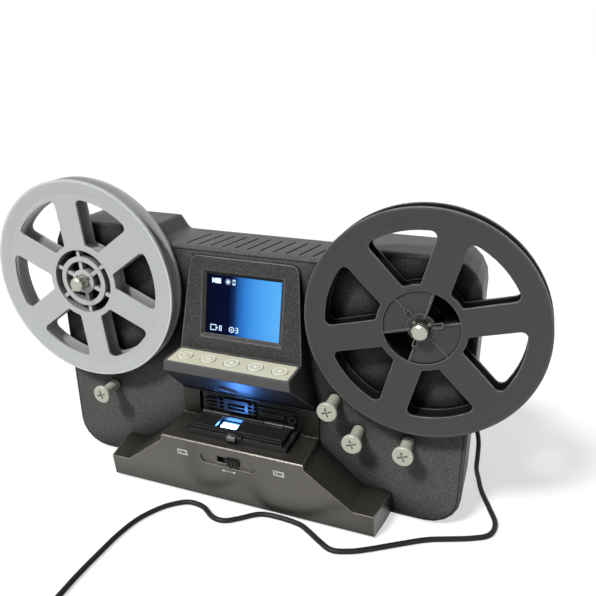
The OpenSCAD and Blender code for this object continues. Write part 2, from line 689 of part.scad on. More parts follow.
// Film track: the upright wall behind the gate, with ledges for the film's edge and a picture frame
track_y = face_y + 0.6;
track_t = 3;
track_half = cavity_half - 1;
track_top = cavity_top - 1.6;
ledge_y = hinge_y + 1;
module film_track() color(dark) difference() {
    union() {
        block([-track_half, track_y, table_z], [track_half, track_y + track_t, track_top]);
        for (k = [0:2])
            block([-track_half + 3, ledge_y, table_z + 7.4 + 2.8 * k],
                [window_x + 14, track_y + 1, table_z + 8.2 + 2.8 * k]);
        difference() {
            block([window_x - 8, ledge_y - 0.2, table_z + 7], [window_x + 9, track_y + 1, track_top - 0.7]);
            block([window_x - 5.5, ledge_y - 1, table_z + 8.6],
                [window_x + 6.5, track_y + 2, track_top - 2.2]);
        }
        for (x = [window_x - 12.6, window_x + 11.4])
            block([x, ledge_y - 0.1, table_z + 6.6], [x + 1.4, track_y + 1, track_top - 1.2]);
        block([window_x + 16, ledge_y + 0.2, table_z + 7.8], [window_x + 33, track_y + 1, table_z + 10.6]);
        block([window_x + 15, ledge_y + 0.7, track_top - 3.4],
            [track_half - 1.5, track_y + 1, track_top - 2.2]);
        rod_y(track_half - 3.8, table_z + 9, ledge_y + 0.1, track_y + 1, 5.6);
    }
    rod_y(track_half - 3.8, table_z + 9, ledge_y - 1, track_y + 0.2, 2.6);
    for (k = [0:3])
        block([window_x + 18 + 3.6 * k, ledge_y - 1, table_z + 8.6],
            [window_x + 20.2 + 3.6 * k, ledge_y + 1, table_z + 9.8]);
    block([-track_half - 1, track_y - 1, table_z + 2.4], [track_half + 1, track_y + 0.8, table_z + 4.6]);
}

module hinge_pin() color(metal)
    translate([gate_knuckles[0][0] - 0.6, hinge_y, hinge_z]) rotate([0, 90, 0])
        cylinder(d = hinge_dia, h = gate_knuckles[1][1] - gate_knuckles[0][0] + 1.2);

module diffuser() color([0.95, 0.96, 1]) union() {
    block([window_x - light_w / 2 + 0.2, film_y - light_d / 2 + 0.2, rail_z - 1.6],
        [window_x + light_w / 2 - 0.2, film_y + light_d / 2 - 0.2, table_z + gate_t - 1]);
    block([window_x - light_w / 2 - 1, film_y - light_d / 2 - diffuser_rim, rail_z - 1.6],
        [window_x + light_w / 2 + 0.5, film_y + light_d / 2 + diffuser_rim, rail_z]);
}

module backlight_board() color(board_green) union() {
    block([window_x - led_half, film_y - 7, led_board_z - board_t],
        [window_x + led_half, film_y + 7, led_board_z]);
    block([window_x - 2.5, film_y - 2.5, led_board_z], [window_x + 2.5, film_y + 2.5, led_board_z + 1]);
}

module camera_barrel() color(dark) difference() {
    translate([camera_x, film_y, camera_z[0]]) cylinder(d = camera_dia, h = camera_z[1] - camera_z[0]);
    translate([camera_x, film_y, camera_z[0] - 1]) cylinder(d = camera_dia - 4, h = 8);
}

module camera_lens() color([0.25, 0.3, 0.45])
    translate([camera_x, film_y, camera_z[0] + 2]) cylinder(d = camera_dia - 4 - 2 * seat, h = 3);

module sensor_board() color(board_green)
    block([camera_x - sensor_half, film_y - 9, camera_z[1]],
        [camera_x + sensor_half, film_y + 9, camera_z[1] + board_t]);

// Film claw: a yoke on two rails, moved by the pin of an eccentric
module film_claw() color(metal) union() {
    difference() {
        block([claw_x - claw_half - 2, yoke_y - 9.6, claw_z - claw_t],
            [claw_x + claw_half + 2, yoke_y + 9.6, claw_z]);
        block([claw_x - claw_half, yoke_y - 6.2, claw_z - 4], [claw_x + claw_half, yoke_y + 6.2, claw_z + 1]);
    }
    block([claw_x - 0.5, claw_y - 0.45, claw_z - 0.5], [claw_x + 0.5, claw_y + 0.45, table_z + gate_t - 0.2]);
}

cam_z = claw_z - claw_t - 3;
cam_shaft_dia = 2;
claw_motor_dia = 13;
claw_motor_top = cam_z - 3;
module claw_cam() color(metal) translate([claw_x, yoke_y, 0]) union() {
    translate([0, 0, cam_z]) cylinder(d = 10, h = 2);
    translate([claw_throw, 0, cam_z + 1]) cylinder(d = 2, h = claw_z - cam_z - 1);
    translate([0, 0, claw_motor_top - 6]) cylinder(d = cam_shaft_dia, h = cam_z - claw_motor_top + 7);
}

module claw_motor() color(metal) difference() {
    translate([claw_x, yoke_y, foot_h + 2]) cylinder(d = claw_motor_dia, h = claw_motor_top - foot_h - 2);
    translate([claw_x, yoke_y, claw_motor_top - 8]) cylinder(d = cam_shaft_dia + 2 * run_clear, h = 9);
}

nub = 2;
module film_select_slider() color(dark) on_base_front() translate([select_x, 0, select_up]) union() {
    block([-knob_w / 2, -0.6, -2.1], [knob_w / 2, base_wall + slip + 0.5, 2.1]);
    for (i = [-1:1]) block([i * 2.4 - 0.5, -1.2, -2.1], [i * 2.4 + 0.5, 0, 2.1]);
    block([-knob_w / 2 - 3, base_wall + slip, -4], [knob_w / 2 + 3, base_wall + slip + 1, 4]);
    block([-nub / 2, base_wall + slip, -nub / 2], [nub / 2, base_wall + slip + 4, nub / 2]);
}

switch_y = foot_y - sin(base_lean) * select_up + base_wall + 3.4;
module select_switch() color(grey) difference() {
    block([select_mid - 8, switch_y, rail_z - 12], [select_mid + 8, switch_y + 3.4, rail_z]);
    block([select_mid - select_travel / 2 - nub, switch_y - 1, rail_z - 12 + 1],
        [select_mid + select_travel / 2 + nub, switch_y + 2.2, rail_z - 2.5]);
}

// Reels: two flanges on a film hub, with local z from the reel's back to its front
function window_points() =
    let (a = asin(spoke_w / 2 / window_out_r), b = asin(spoke_w / 2 / window_in_r),
        outer = [for (k = [0:8]) let (t = a + (60 - 2 * a) * k / 8) window_out_r * [cos(t), sin(t)]],
        inner = [for (k = [2:-1:0]) let (t = b + (60 - 2 * b) * k / 2) window_in_r * [cos(t), sin(t)]])
    rounded(concat(outer, inner), [3.2, 0, 0, 0, 0, 0, 0, 0, 3.2, 1.6, 0, 1.6], 4);

module flange(z_plate, z_rim, phase) {
    difference() {
        rotate_extrude($fn = 96) {
            translate([hub_bore_r, z_plate]) square([reel_r - rim_w - hub_bore_r + 0.1, flange_t]);
            translate([reel_r - rim_w, z_rim]) square([rim_w, rim_t]);
        }
        for (i = [0:5]) rotate([0, 0, phase + 60 * i]) translate([0, 0, z_plate - 2])
            linear_extrude(flange_t + 4) polygon(window_points());
    }
}
module on_reel(side) {
    facing(side * reel_x, reel_back_y, reel_z) children();
}
supply_phase = 36.7;
takeup_phase = 15.5;
front_plate_z = reel_w - rim_t;
core_bore_dia = spindle_dia + 0.3;
key_phase = 30;
module drum() {
    translate([0, 0, rim_t]) difference() {
        cylinder(r = hub_r, h = reel_w - 2 * rim_t);
        translate([0, 0, -1]) cylinder(r = hub_bore_r, h = reel_w);
    }
}
module core_cut() {
    translate([0, 0, -1]) cylinder(d = core_bore_dia, h = reel_w + 2);
    for (i = [0:2]) rotate([0, 0, key_phase + 120 * i])
        translate([0, -key_w / 2 - 0.15, -1]) cube([core_bore_dia / 2 + key_h, key_w + 0.3, reel_w + 2]);
}
core_top = reel_w - 1.2;
web_z = reel_w - rim_t - 4.2;

module supply_front_flange() color([0.74, 0.75, 0.75]) on_reel(-1)
    flange(front_plate_z, front_plate_z, supply_phase);
module supply_back_flange() color([0.74, 0.75, 0.75]) on_reel(-1) flange(rim_t - flange_t, 0, supply_phase);
module takeup_front_flange() color([0.2, 0.2, 0.2]) on_reel(1)
    flange(front_plate_z, front_plate_z, takeup_phase);
module takeup_back_flange() color([0.2, 0.2, 0.2]) on_reel(1) flange(rim_t - flange_t, 0, takeup_phase);

// Light hub: a ring between the core and the drum, on six thin spokes
ring_in = 12.8;
ring_out = 16;
module supply_hub() color([0.74, 0.75, 0.75]) on_reel(-1) difference() {
    union() {
        drum();
        translate([0, 0, 0.4]) cylinder(r = core_r, h = core_top - 0.4);
        translate([0, 0, web_z]) difference() {
            cylinder(r = ring_out, h = core_top - web_z);
            translate([0, 0, -1]) cylinder(r = ring_in, h = reel_w);
        }
        for (i = [0:5]) rotate([0, 0, supply_phase + 60 * i])
            translate([core_r - 1, -web_t * 0.75, web_z + 0.4])
                cube([hub_bore_r - core_r + 1.8, web_t * 1.5, core_top - web_z - 1]);
    }
    core_cut();
}

// Dark hub: six ribs on a web that is open in two opposite sectors
module takeup_hub() color([0.2, 0.2, 0.2]) on_reel(1) difference() {
    union() {
        drum();
        translate([0, 0, 0.4]) cylinder(r = core_r, h = core_top - 0.4);
        translate([0, 0, web_z]) difference() {
            cylinder(r = hub_bore_r + 0.5, h = web_t);
            for (i = [0, 180]) rotate([0, 0, takeup_phase + i]) translate([0, 0, -1])
                linear_extrude(web_t + 2)
                polygon([[0, 0], [60, 0], 60 * [cos(60), sin(60)]]);
        }
        for (i = [0:5]) rotate([0, 0, takeup_phase + 60 * i])
            translate([core_r - 1, -web_t / 2, web_z + 0.4])
                cube([hub_bore_r - core_r + 1.8, web_t, web_t + 1.4]);
    }
    core_cut();
}

// Spindle: local z from the reel's back towards the front
spindle_tail = boss_end_y + gear_w + 1 - reel_back_y;
module spindle(side) color(metal) on_reel(side) {
    r = spindle_dia / 2;
    end = reel_w + tip_len;
    union() {
        rotate_extrude() polygon([[0, -spindle_tail], [r, -spindle_tail], [r, -2.2], [shoulder_dia / 2, -2.2],
            [shoulder_dia / 2, 0], [r, 0], [r, end - 3.4], [r - 0.7, end - 3.4], [r - 0.7, end - 2.6],
            [r, end - 2.6], [r, end - 1.2], [r - 1, end - 0.3], [0, end]]);
        for (i = [0:2]) rotate([0, 0, key_phase + 120 * i])
            translate([0, -key_w / 2, 1]) cube([r + key_h - 0.1, key_w, core_top - 1.4]);
    }
}
module supply_spindle() spindle(-1);
module takeup_spindle() spindle(1);

module spindle_bushes() color([0.8, 0.65, 0.35]) {
    for (s = [-1, 1])
        tube_y(s * reel_x, reel_z, boss_end_y - bush_len, boss_end_y, bush_dia, spindle_dia + 2 * run_clear);
}

felt_t = 1.5;
module supply_felt() color([0.5, 0.1, 0.1])
    tube_y(-reel_x, reel_z, boss_end_y, boss_end_y + felt_t, bush_dia + 3, spindle_dia + 2 * slip);
module supply_collar() color(metal)
    tube_y(-reel_x, reel_z, boss_end_y + felt_t + slip, boss_end_y + felt_t + slip + 3.5, bush_dia + 2,
        spindle_dia + 2 * seat);

// Involute gears, twenty degrees, with a little backlash
pressure = 20;
backlash = 0.12;
function involute(a) = tan(a) * 180 / PI - a;
function gear_points(teeth, m, n = 4) =
    let (rp = m * teeth / 2, rb = rp * cos(pressure), ra = rp + m, rf = rp - 1.25 * m, r0 = max(rb, rf),
        base = 90 / teeth - backlash / rp * 90 / PI + involute(pressure),
        side = [for (k = [0:n]) let (r = r0 + (ra - r0) * k / n) [r, base - involute(acos(min(1, rb / r)))]])
    [for (i = [0:teeth - 1]) let (t = i * 360 / teeth) each concat(
        [rf * [cos(t - side[0][1]), sin(t - side[0][1])]],
        [for (s = side) s[0] * [cos(t - s[1]), sin(t - s[1])]],
        [for (k = [n:-1:0]) let (s = side[k]) s[0] * [cos(t + s[1]), sin(t + s[1])]],
        [rf * [cos(t + side[0][1]), sin(t + side[0][1])]])];
gear_y = boss_end_y + 0.4;

module takeup_gear() color([0.9, 0.88, 0.8]) facing(reel_x, gear_y + gear_w, reel_z) difference() {
    linear_extrude(gear_w) polygon(gear_points(gear_teeth, gear_m));
    translate([0, 0, -1]) cylinder(d = spindle_dia + 2 * seat, h = gear_w + 2);
}

motor_shaft_dia = 3;
module motor_pinion() color([0.9, 0.88, 0.8]) facing(motor_x, gear_y + gear_w, reel_z) union() {
    linear_extrude(gear_w - 0.4) rotate(180 / pinion_teeth) polygon(gear_points(pinion_teeth, gear_m));
    translate([0, 0, -bracket_t - 6]) cylinder(d = motor_shaft_dia, h = bracket_t + 8);
}

module takeup_motor() color(metal)
    tube_blind(motor_x, reel_z, bracket_y + bracket_t, bracket_y + bracket_t + motor_len, motor_dia, 8);
module tube_blind(x, z, y0, y1, d, depth) {
    difference() {
        rod_y(x, z, y0, y1, d);
        rod_y(x, z, y0 - 1, y0 + depth, motor_shaft_dia + 2 * run_clear);
    }
}

module motor_bracket() color(metal) difference() {
    low = bracket_posts[0];
    high = bracket_posts[1];
    out = bracket_posts[2];
    far = bracket_posts[3];
    e = bracket_edge;
    front_slab(bracket_y, bracket_y + bracket_t) polygon(rounded([low - [e, e], [motor_x + 2, out[1] - e],
        out + [e, -e], far + [e, e], [motor_x + 2, far[1] + e], high + [-e, e]], 2, 3));
    rod_y(motor_x, reel_z, bracket_y - 1, bracket_y + bracket_t + 1, motor_shaft_dia + 2 * slip);
}

// Guide rollers on fixed pins
roller_back_y = face_y - slip;
roller_front_y = roller_back_y - roller_len;
module roller(i) color([0.78, 0.79, 0.72]) facing(guide_places[i][0], roller_back_y, guide_places[i][1])
    difference() {
        union() {
            cylinder(d = stem_dia, h = roller_len - 0.5);
            translate([0, 0, roller_len - head_t]) cylinder(d = head_dia, h = head_t - 0.5);
            translate([0, 0, roller_len - 0.5]) cylinder(d1 = head_dia, d2 = head_dia - 1, h = 0.5);
        }
        translate([0, 0, -1]) cylinder(d = pin_dia + 2 * run_clear, h = roller_len - 1.6);
        for (a = [0, 90]) rotate([0, 0, 20 + a])
            translate([-3, -0.5, roller_len - 0.9]) cube([6, 1, 2]);
    }
module guide_roller_1() roller(0);
module guide_roller_2() roller(1);
module guide_roller_3() roller(2);
module guide_roller_4() roller(3);

module guide_pins() color(metal) {
    for (p = guide_places) union() {
        rod_y(p[0], p[1], roller_front_y + 3, inner_front_y + 2.2, pin_dia);
        rod_y(p[0], p[1], inner_front_y + 2, inner_front_y + 2 + guide_flange_t, pin_dia + 3);
    }
}

// Boards and sockets
module main_board() color(board_green) union() {
    block([-board_half, board_y, board_z[0]], [board_half, board_y + board_t, board_z[1]]);
    translate([0, board_y, (board_z[0] + board_z[1]) / 2])
        block([-board_half * 0.3, -1.5, -board_half / 3], [board_half * 0.3, 0, board_half * 0.27]);
    translate([-board_half, board_y, board_z[0]]) block([8, -6, 2], [24, 0, 8]);
}

module jack_board() color(board_green)
    block([jack_board_x[0], jack_board_y[0], jack_board_z],
        [jack_board_x[1] + 2, jack_board_y[1], jack_board_z + board_t]);

module power_jack() color(dark) difference() {
    block([jack_x - 5, inner_rear_y - 12, jack_board_z + board_t],
        [jack_x + 5, inner_rear_y - slip, jack_z + 5.5]);
    rod_y(jack_x, jack_z, inner_rear_y - 10.5, inner_rear_y + 1, barrel_dia + 2 * seat);
}

module card_socket() color(metal) difference() {
    block([card_x - card_w / 2, inner_rear_y - 24, jack_board_z + board_t],
        [card_x + card_w / 2, inner_rear_y - slip, jack_board_z + board_t + card_t]);
    block([card_x - card_w / 2 + 0.8, inner_rear_y - 23, jack_board_z + board_t + 0.4],
        [card_x + card_w / 2 - 0.8, inner_rear_y + 1, jack_board_z + board_t + card_t - 0.4]);
}

// Cord: plug in the rear jack, a loose lead round the right side and along the front, a coil and a far plug
cord_r = cord_dia / 2;
plug_len = 20;
plug_y = rear_y + slip;
lead_points = [[jack_x, 60, jack_z], [jack_x + 0.5, 68, jack_z - 0.4], [jack_x + 4, 77, jack_z - 3],
    [124, 83, 27], [132, 82, 20], [136, 75, 12.5], [137, 66, 6], [137.5, 56, 2.2], [140, 45, 1.7],
    [143, 33, 1.7], [149, 18, 1.7], [153.5, 5, 1.7], [151, -6, 1.7], [141, -12.5, 1.7],
    [129, -17.5, 1.7], [117, -22.6, 1.7], [102, -32, 1.7], [87.5, -41.4, 1.7], [78, -46.5, 1.7],
    [68, -49, 1.7], [59, -44.5, 1.7], [51, -39.3, 1.7], [43.6, -35.6, 1.7], [30.3, -34.2, 1.7],
    [18.2, -35.6, 1.7], [7.7, -43.6, 1.7], [0, -48.3, 1.7], [-8, -47.6, 1.7], [-17.5, -41.5, 1.7],
    [-27.5, -40.5, 1.7], [-35.5, -45, 1.7], [-42.5, -52.5, 1.7], [-49.2, -65, 1.7], [-52.6, -80, 1.7],
    [-54, -96, 1.7], [-55, -114, 1.7], [-55, -132, 1.7], [-55, -146, 1.7]];
lead_end = lead_points[len(lead_points) - 1];

function curve(p, i, t) = let (n = len(p) - 1, a = p[max(i - 1, 0)], b = p[i], c = p[min(i + 1, n)],
    d = p[min(i + 2, n)])
    0.5 * (2 * b + (c - a) * t + (2 * a - 5 * b + 4 * c - d) * t * t + (3 * b - a - 3 * c + d) * t * t * t);
function smooth_path(p, n) = concat([for (i = [0:len(p) - 2], k = [0:n - 1]) curve(p, i, k / n)],
    [p[len(p) - 1]]);
function path_length(p) = let (s = [for (i = [1:len(p) - 1]) norm(p[i] - p[i - 1])]) s * [for (x = s) 1];
// Rings of a round tube along a path that is never upright
function tube_rings(p, r, sides) = [for (i = [0:len(p) - 1])
    let (t = unit(p[min(i + 1, len(p) - 1)] - p[max(i - 1, 0)]), u = unit(cross(t,
        [0, 0, 1])), v = cross(u, t))
    [for (k = [0:sides - 1]) p[i] + r * (u * cos(360 * k / sides) + v * sin(360 * k / sides))]];

module cord_plug() color(dark) union() {
    rod_y(jack_x, jack_z, inner_rear_y - 9.5, plug_y + 1, barrel_dia);
    facing(jack_x, lead_points[0][1], jack_z) rotate_extrude() {
        polygon([[0, 0], [cord_r + 0.5, 0], [cord_r + 1.2, 8], [4.4, 9],
            [4.4, lead_points[0][1] - plug_y - 0.8],
            [3.6, lead_points[0][1] - plug_y], [0, lead_points[0][1] - plug_y]]);
    }
}

lead_path = smooth_path(lead_points, 2);
module cord_lead() color(dark) loft(tube_rings(lead_path, cord_r, 8));

// Coil: in along the floor, over in half a turn, and out again on top
coil_turns = 2.375;
coil_pitch = cord_dia + 0.55;
coil_out_r = 20.5;
// Straight end between the coil and the far plug
tail_len = 20.5;
coil_in_r = coil_out_r - coil_turns * coil_pitch;
coil_rise = cord_dia + 0.5;
coil_mid = [lead_end[0] + coil_out_r, lead_end[1] - cord_dia];
coil_steps = 24;
function coil_point(t) = let (s = t / 360,
        climb = min(max((s - coil_turns) / 0.5, 0), 1),
        r = s < coil_turns ? coil_out_r - coil_pitch * s : coil_in_r - coil_pitch * sin(180 * climb) / 3
            + coil_pitch * max(s - coil_turns - 0.5, 0),
        z = lead_end[2] + coil_rise * climb)
    [coil_mid[0] + r * cos(180 + t), coil_mid[1] + r * sin(180 + t), z];
coil_full = 360 * (2 * coil_turns + 0.5);
tail_way = [-sin(180 + coil_full), cos(180 + coil_full), 0];
coil_path = concat([lead_end],
    [for (k = [0:coil_full / 360 * coil_steps]) coil_point(360 * k / coil_steps)],
    [coil_point(coil_full) + tail_len * tail_way]);
tail_end = coil_path[len(coil_path) - 1];
least_gap = min([for (i = [1:len(coil_path) - 2]) each [for (j = [i + 10:len(coil_path) - 2])
    norm(coil_path[i] - coil_path[j])]]) - cord_dia;
echo(coil_least_gap = least_gap, cord_length = path_length(lead_path) + path_length(coil_path));
module cord_coil() color(dark) loft(tube_rings(coil_path, cord_r, 6));

// Flat plug at the far end, lying on the table
module far_plug() color(dark) translate(tail_end) rotate([0, 0, atan2(tail_way[1], tail_way[0])]) union() {
    block([0, -8, -tail_end[2]], [26, 8, tail_end[2]]);
    color(metal) block([25, -6, -2.25], [38, 6, 2.25]);
}

front_cover();
rear_cover();
base_housing();
base_plate();
feet();
screws();
screen_housing();
screen_window();
lcd_module();
button_strip();
keypad_board();
button_1();
button_2();
button_3();
button_4();
button_5();
gate_plate();
gate_door();
hinge_pin();
film_track();
diffuser();
backlight_board();
camera_barrel();
camera_lens();
sensor_board();
film_claw();
claw_cam();
claw_motor();
film_select_slider();
select_switch();
supply_spindle();
supply_hub();
supply_front_flange();
supply_back_flange();
supply_collar();
supply_felt();
takeup_spindle();
takeup_hub();
takeup_front_flange();
takeup_back_flange();
takeup_gear();
spindle_bushes();
motor_pinion();
takeup_motor();
motor_bracket();
guide_roller_1();
guide_roller_2();
guide_roller_3();
guide_roller_4();
guide_pins();
main_board();
jack_board();
power_jack();
card_socket();
cord_plug();
cord_lead();
cord_coil();
far_plug();
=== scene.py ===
import json
import math

import bmesh
import bpy
from mathutils import Matrix, Vector


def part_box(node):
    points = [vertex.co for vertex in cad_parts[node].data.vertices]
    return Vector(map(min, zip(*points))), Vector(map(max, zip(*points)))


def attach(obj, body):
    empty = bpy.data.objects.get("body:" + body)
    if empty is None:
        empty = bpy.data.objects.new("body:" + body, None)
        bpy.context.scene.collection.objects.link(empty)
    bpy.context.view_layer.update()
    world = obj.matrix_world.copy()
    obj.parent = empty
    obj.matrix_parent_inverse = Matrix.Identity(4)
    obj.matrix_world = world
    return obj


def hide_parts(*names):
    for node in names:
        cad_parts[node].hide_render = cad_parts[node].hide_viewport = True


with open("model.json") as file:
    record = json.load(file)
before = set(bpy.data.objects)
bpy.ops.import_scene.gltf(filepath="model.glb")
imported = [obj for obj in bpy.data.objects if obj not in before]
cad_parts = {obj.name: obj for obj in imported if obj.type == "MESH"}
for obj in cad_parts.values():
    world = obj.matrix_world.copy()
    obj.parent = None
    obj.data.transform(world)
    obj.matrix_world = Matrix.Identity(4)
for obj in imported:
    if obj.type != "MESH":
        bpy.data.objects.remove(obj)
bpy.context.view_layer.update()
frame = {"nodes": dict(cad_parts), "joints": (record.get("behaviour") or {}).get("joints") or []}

scene = bpy.context.scene
nodes = frame["nodes"]
MM = 0.001
BODY = "scanner"


# Places of the CAD solids, in millimetres, and the axes of the reels, in metres
def corners(node):
    """A node's lowest and highest corners."""
    return [[value / MM for value in corner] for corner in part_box(node)]


joints = {joint["name"]: joint for joint in frame["joints"]}
SUPPLY_AXIS = Vector(joints["supply_spin"]["pos_m"])
TAKEUP_AXIS = Vector(joints["takeup_spin"]["pos_m"])
cover_low, cover_high = corners("front_cover")
housing_low, housing_high = corners("screen_housing")
strip_low, strip_high = corners("button_strip")
flange_low, flange_high = corners("takeup_front_flange")
hub_low = corners("takeup_hub")[0]
FLANGE_R = flange_high[0] - TAKEUP_AXIS.x / MM
HUB_Y = hub_low[1]
TABLE_Z = 45


# Camera at the photograph's place, in millimetres
CAMERA_AT = (149.7, -319.95, 265.33)
CAMERA_RIGHT = (0.93722, 0.34870, -0.00437)
CAMERA_UP = (-0.12268, 0.34141, 0.93187)
CAMERA_BACK = (0.32644, -0.87284, 0.36276)
FOCAL_PX = 633.66
FRAME_PX = 596
SENSOR_W = 36
SHIFT_X = 0.001
SHIFT_Y = -0.0014
CLIP_NEAR = 0.01
CLIP_FAR = 50

camera_data = bpy.data.cameras.new("camera")
camera_data.sensor_width = SENSOR_W
camera_data.lens = FOCAL_PX * SENSOR_W / FRAME_PX
camera_data.shift_x = SHIFT_X
camera_data.shift_y = SHIFT_Y
camera_data.clip_start = CLIP_NEAR
camera_data.clip_end = CLIP_FAR
camera = bpy.data.objects.new("camera", camera_data)
scene.collection.objects.link(camera)
camera_turn = Matrix((CAMERA_RIGHT, CAMERA_UP, CAMERA_BACK)).transposed().to_quaternion()
camera.matrix_world = Matrix.Translation(Vector(CAMERA_AT) * MM) @ camera_turn.to_matrix().to_4x4()
scene.camera = camera


# Node helpers, with lengths in metres
WHITE = (1, 1, 1)
BLACK = (0, 0, 0)
MIX_FACTOR = 0
MIX_A = 6
MIX_B = 7
MIX_RESULT = 2
NOISE_LOW = 0.3
NOISE_HIGH = 0.7
BEVEL_SAMPLES = 4
EDGE_BENT = (0.985, 0.85)
EDGE_OPEN = (0.52, 0.74)
CREASE_SAMPLES = 6
CREASE_REACH = 0.003
# Painted shade in creases: the occlusion span and its darkest level
PAINTED_CREASE_SPAN = (0.1, 0.8)
PAINTED_CREASE_DARK = 0.3
SHADE_SAMPLES = 8


class Nodes:
    """A node tree, with short helpers for its nodes and links."""

    def __init__(self, tree):
        self.tree = tree
        self.tree.nodes.clear()

    def add(self, kind, **values):
        node = self.tree.nodes.new(kind)
        for key, value in values.items():
            setattr(node, key, value)
        return node

    def link(self, source, target):
        self.tree.links.new(source, target)

    def put(self, socket, value):
        """A number or a colour is set on the socket, and a node's output is linked to it."""
        if isinstance(value, (int, float)):
            socket.default_value = value
        elif isinstance(value, tuple):
            socket.default_value = (*value, 1)
        else:
            self.link(value, socket)

    def remap(self, value, low, high, to_low, to_high):
        node = self.add("ShaderNodeMapRange")
        node.inputs["From Min"].default_value = low
        node.inputs["From Max"].default_value = high
        node.inputs["To Min"].default_value = to_low
        node.inputs["To Max"].default_value = to_high
        self.link(value, node.inputs["Value"])
        return node.outputs[0]

    def spread(self, noise, to_low, to_high):
        """The usual span of a noise, laid over another span."""
        return self.remap(noise, NOISE_LOW, NOISE_HIGH, to_low, to_high)

    def past(self, value, start, blend):
        """0 up to the start, and 1 from just after it."""
        return self.remap(value, start, start + blend, 0, 1)

    def math(self, operation, a, b):
        node = self.add("ShaderNodeMath", operation=operation)
        self.put(node.inputs[0], a)
        self.put(node.inputs[1], b)
        return node.outputs[0]

    def mix(self, factor, a, b, blend="MIX"):
        node = self.add("ShaderNodeMix", data_type="RGBA", blend_type=blend)
        for i, value in ((MIX_FACTOR, factor), (MIX_A, a), (MIX_B, b)):
            self.put(node.inputs[i], value)
        return node.outputs[MIX_RESULT]

    def times(self, colour, other):
        return self.mix(1.0, colour, other, "MULTIPLY")

    def seen(self):
        """1 for rays from the camera, from gloss and through glass, and 0 for rays that only light."""
        path = self.add("ShaderNodeLightPath")
        level = path.outputs["Is Camera Ray"]
        for other in ("Is Glossy Ray", "Is Transmission Ray"):
            level = self.math("MAXIMUM", level, path.outputs[other])
        return level


class Shader(Nodes):
    """A material with one surface shader."""

    def __init__(self, name):
        self.mat = bpy.data.materials.new(name)
        self.mat.use_nodes = True
        super().__init__(self.mat.node_tree)
        self.bsdf = self.add("ShaderNodeBsdfPrincipled")
        self.link(self.bsdf.outputs[0], self.add("ShaderNodeOutputMaterial").inputs[0])
        self.coord = self.add("ShaderNodeTexCoord").outputs["Object"]

    def set(self, **values):
        for key, value in values.items():
            self.bsdf.inputs[key.replace("_", " ")].default_value = value

    def feed(self, name, source):
        self.link(source, self.bsdf.inputs[name])

    def stretched(self, scale, turn=(0, 0, 0)):
        node = self.add("ShaderNodeMapping")
        node.inputs["Scale"].default_value = scale
        node.inputs["Rotation"].default_value = turn
        self.link(self.coord, node.inputs["Vector"])
        return node.outputs[0]

    def noise(self, scale, detail=3.0, rough=0.55, vector=None):
        node = self.add("ShaderNodeTexNoise")
        node.inputs["Scale"].default_value = scale
        node.inputs["Detail"].default_value = detail
        node.inputs["Roughness"].default_value = rough
        self.link(vector or self.coord, node.inputs["Vector"])
        return node.outputs[0]

    def cells(self, scale):
        node = self.add("ShaderNodeTexVoronoi")
        node.inputs["Scale"].default_value = scale
        self.link(self.coord, node.inputs["Vector"])
        return node.outputs["Distance"]

    def axis(self, name, vector=None):
        """One coordinate of a vector, or of the place on the part."""
        split = self.add("ShaderNodeSeparateXYZ")
        self.link(vector or self.coord, split.inputs[0])
        return split.outputs[name]

    def face_normal(self):
        return self.add("ShaderNodeNewGeometry").outputs["True Normal"]

    def grey(self, level):
        colour = self.add("ShaderNodeCombineColor")
        for channel in range(3):
            self.link(level, colour.inputs[channel])
        return colour.outputs[0]

    def near(self, reach, samples):
        """1 in the open, and less where other surfaces stand close in front."""
        node = self.add("ShaderNodeAmbientOcclusion", samples=samples)
        node.inputs["Distance"].default_value = reach
        return node.outputs["AO"]

    def rounded(self, radius):
        """The normal, rounded near edges."""
        bevel = self.add("ShaderNodeBevel", samples=BEVEL_SAMPLES)
        bevel.inputs["Radius"].default_value = radius
        return bevel.outputs[0]

    def edges(self, normal):
        """A mask that is 1 on outer edges, and a painted shade that falls off in creases."""
        dot = self.add("ShaderNodeVectorMath", operation="DOT_PRODUCT")
        self.link(normal, dot.inputs[0])
        self.link(self.face_normal(), dot.inputs[1])
        near = self.near(CREASE_REACH, CREASE_SAMPLES)
        bent = self.remap(dot.outputs["Value"], *EDGE_BENT, 0, 1)
        outer = self.remap(near, *EDGE_OPEN, 0, 1)
        painted_crease_shade = self.remap(near, *PAINTED_CREASE_SPAN, PAINTED_CREASE_DARK, 1)
        return self.math("MULTIPLY", bent, outer), painted_crease_shade

    def beyond(self, centre, radius, blend):
        """1 from this radius outwards, round an axis along y."""
        away = self.add("ShaderNodeVectorMath", operation="DISTANCE")
        self.link(self.stretched((1, 0, 1)), away.inputs[0])
        away.inputs[1].default_value = centre
        return self.past(away.outputs["Value"], radius, blend)

    def shade(self, reach, low, high, dark):
        """A painted shade: a grey that falls off where other surfaces stand in front within reach."""
        return self.grey(self.remap(self.near(reach, SHADE_SAMPLES), low, high, dark, 1))

    def bump(self, height, strength, distance, normal=None):
        node = self.add("ShaderNodeBump")
        node.inputs["Strength"].default_value = strength
        node.inputs["Distance"].default_value = distance
        self.link(height, node.inputs["Height"])
        if normal is not None:
            self.link(normal, node.inputs["Normal"])
        self.feed("Normal", node.outputs[0])


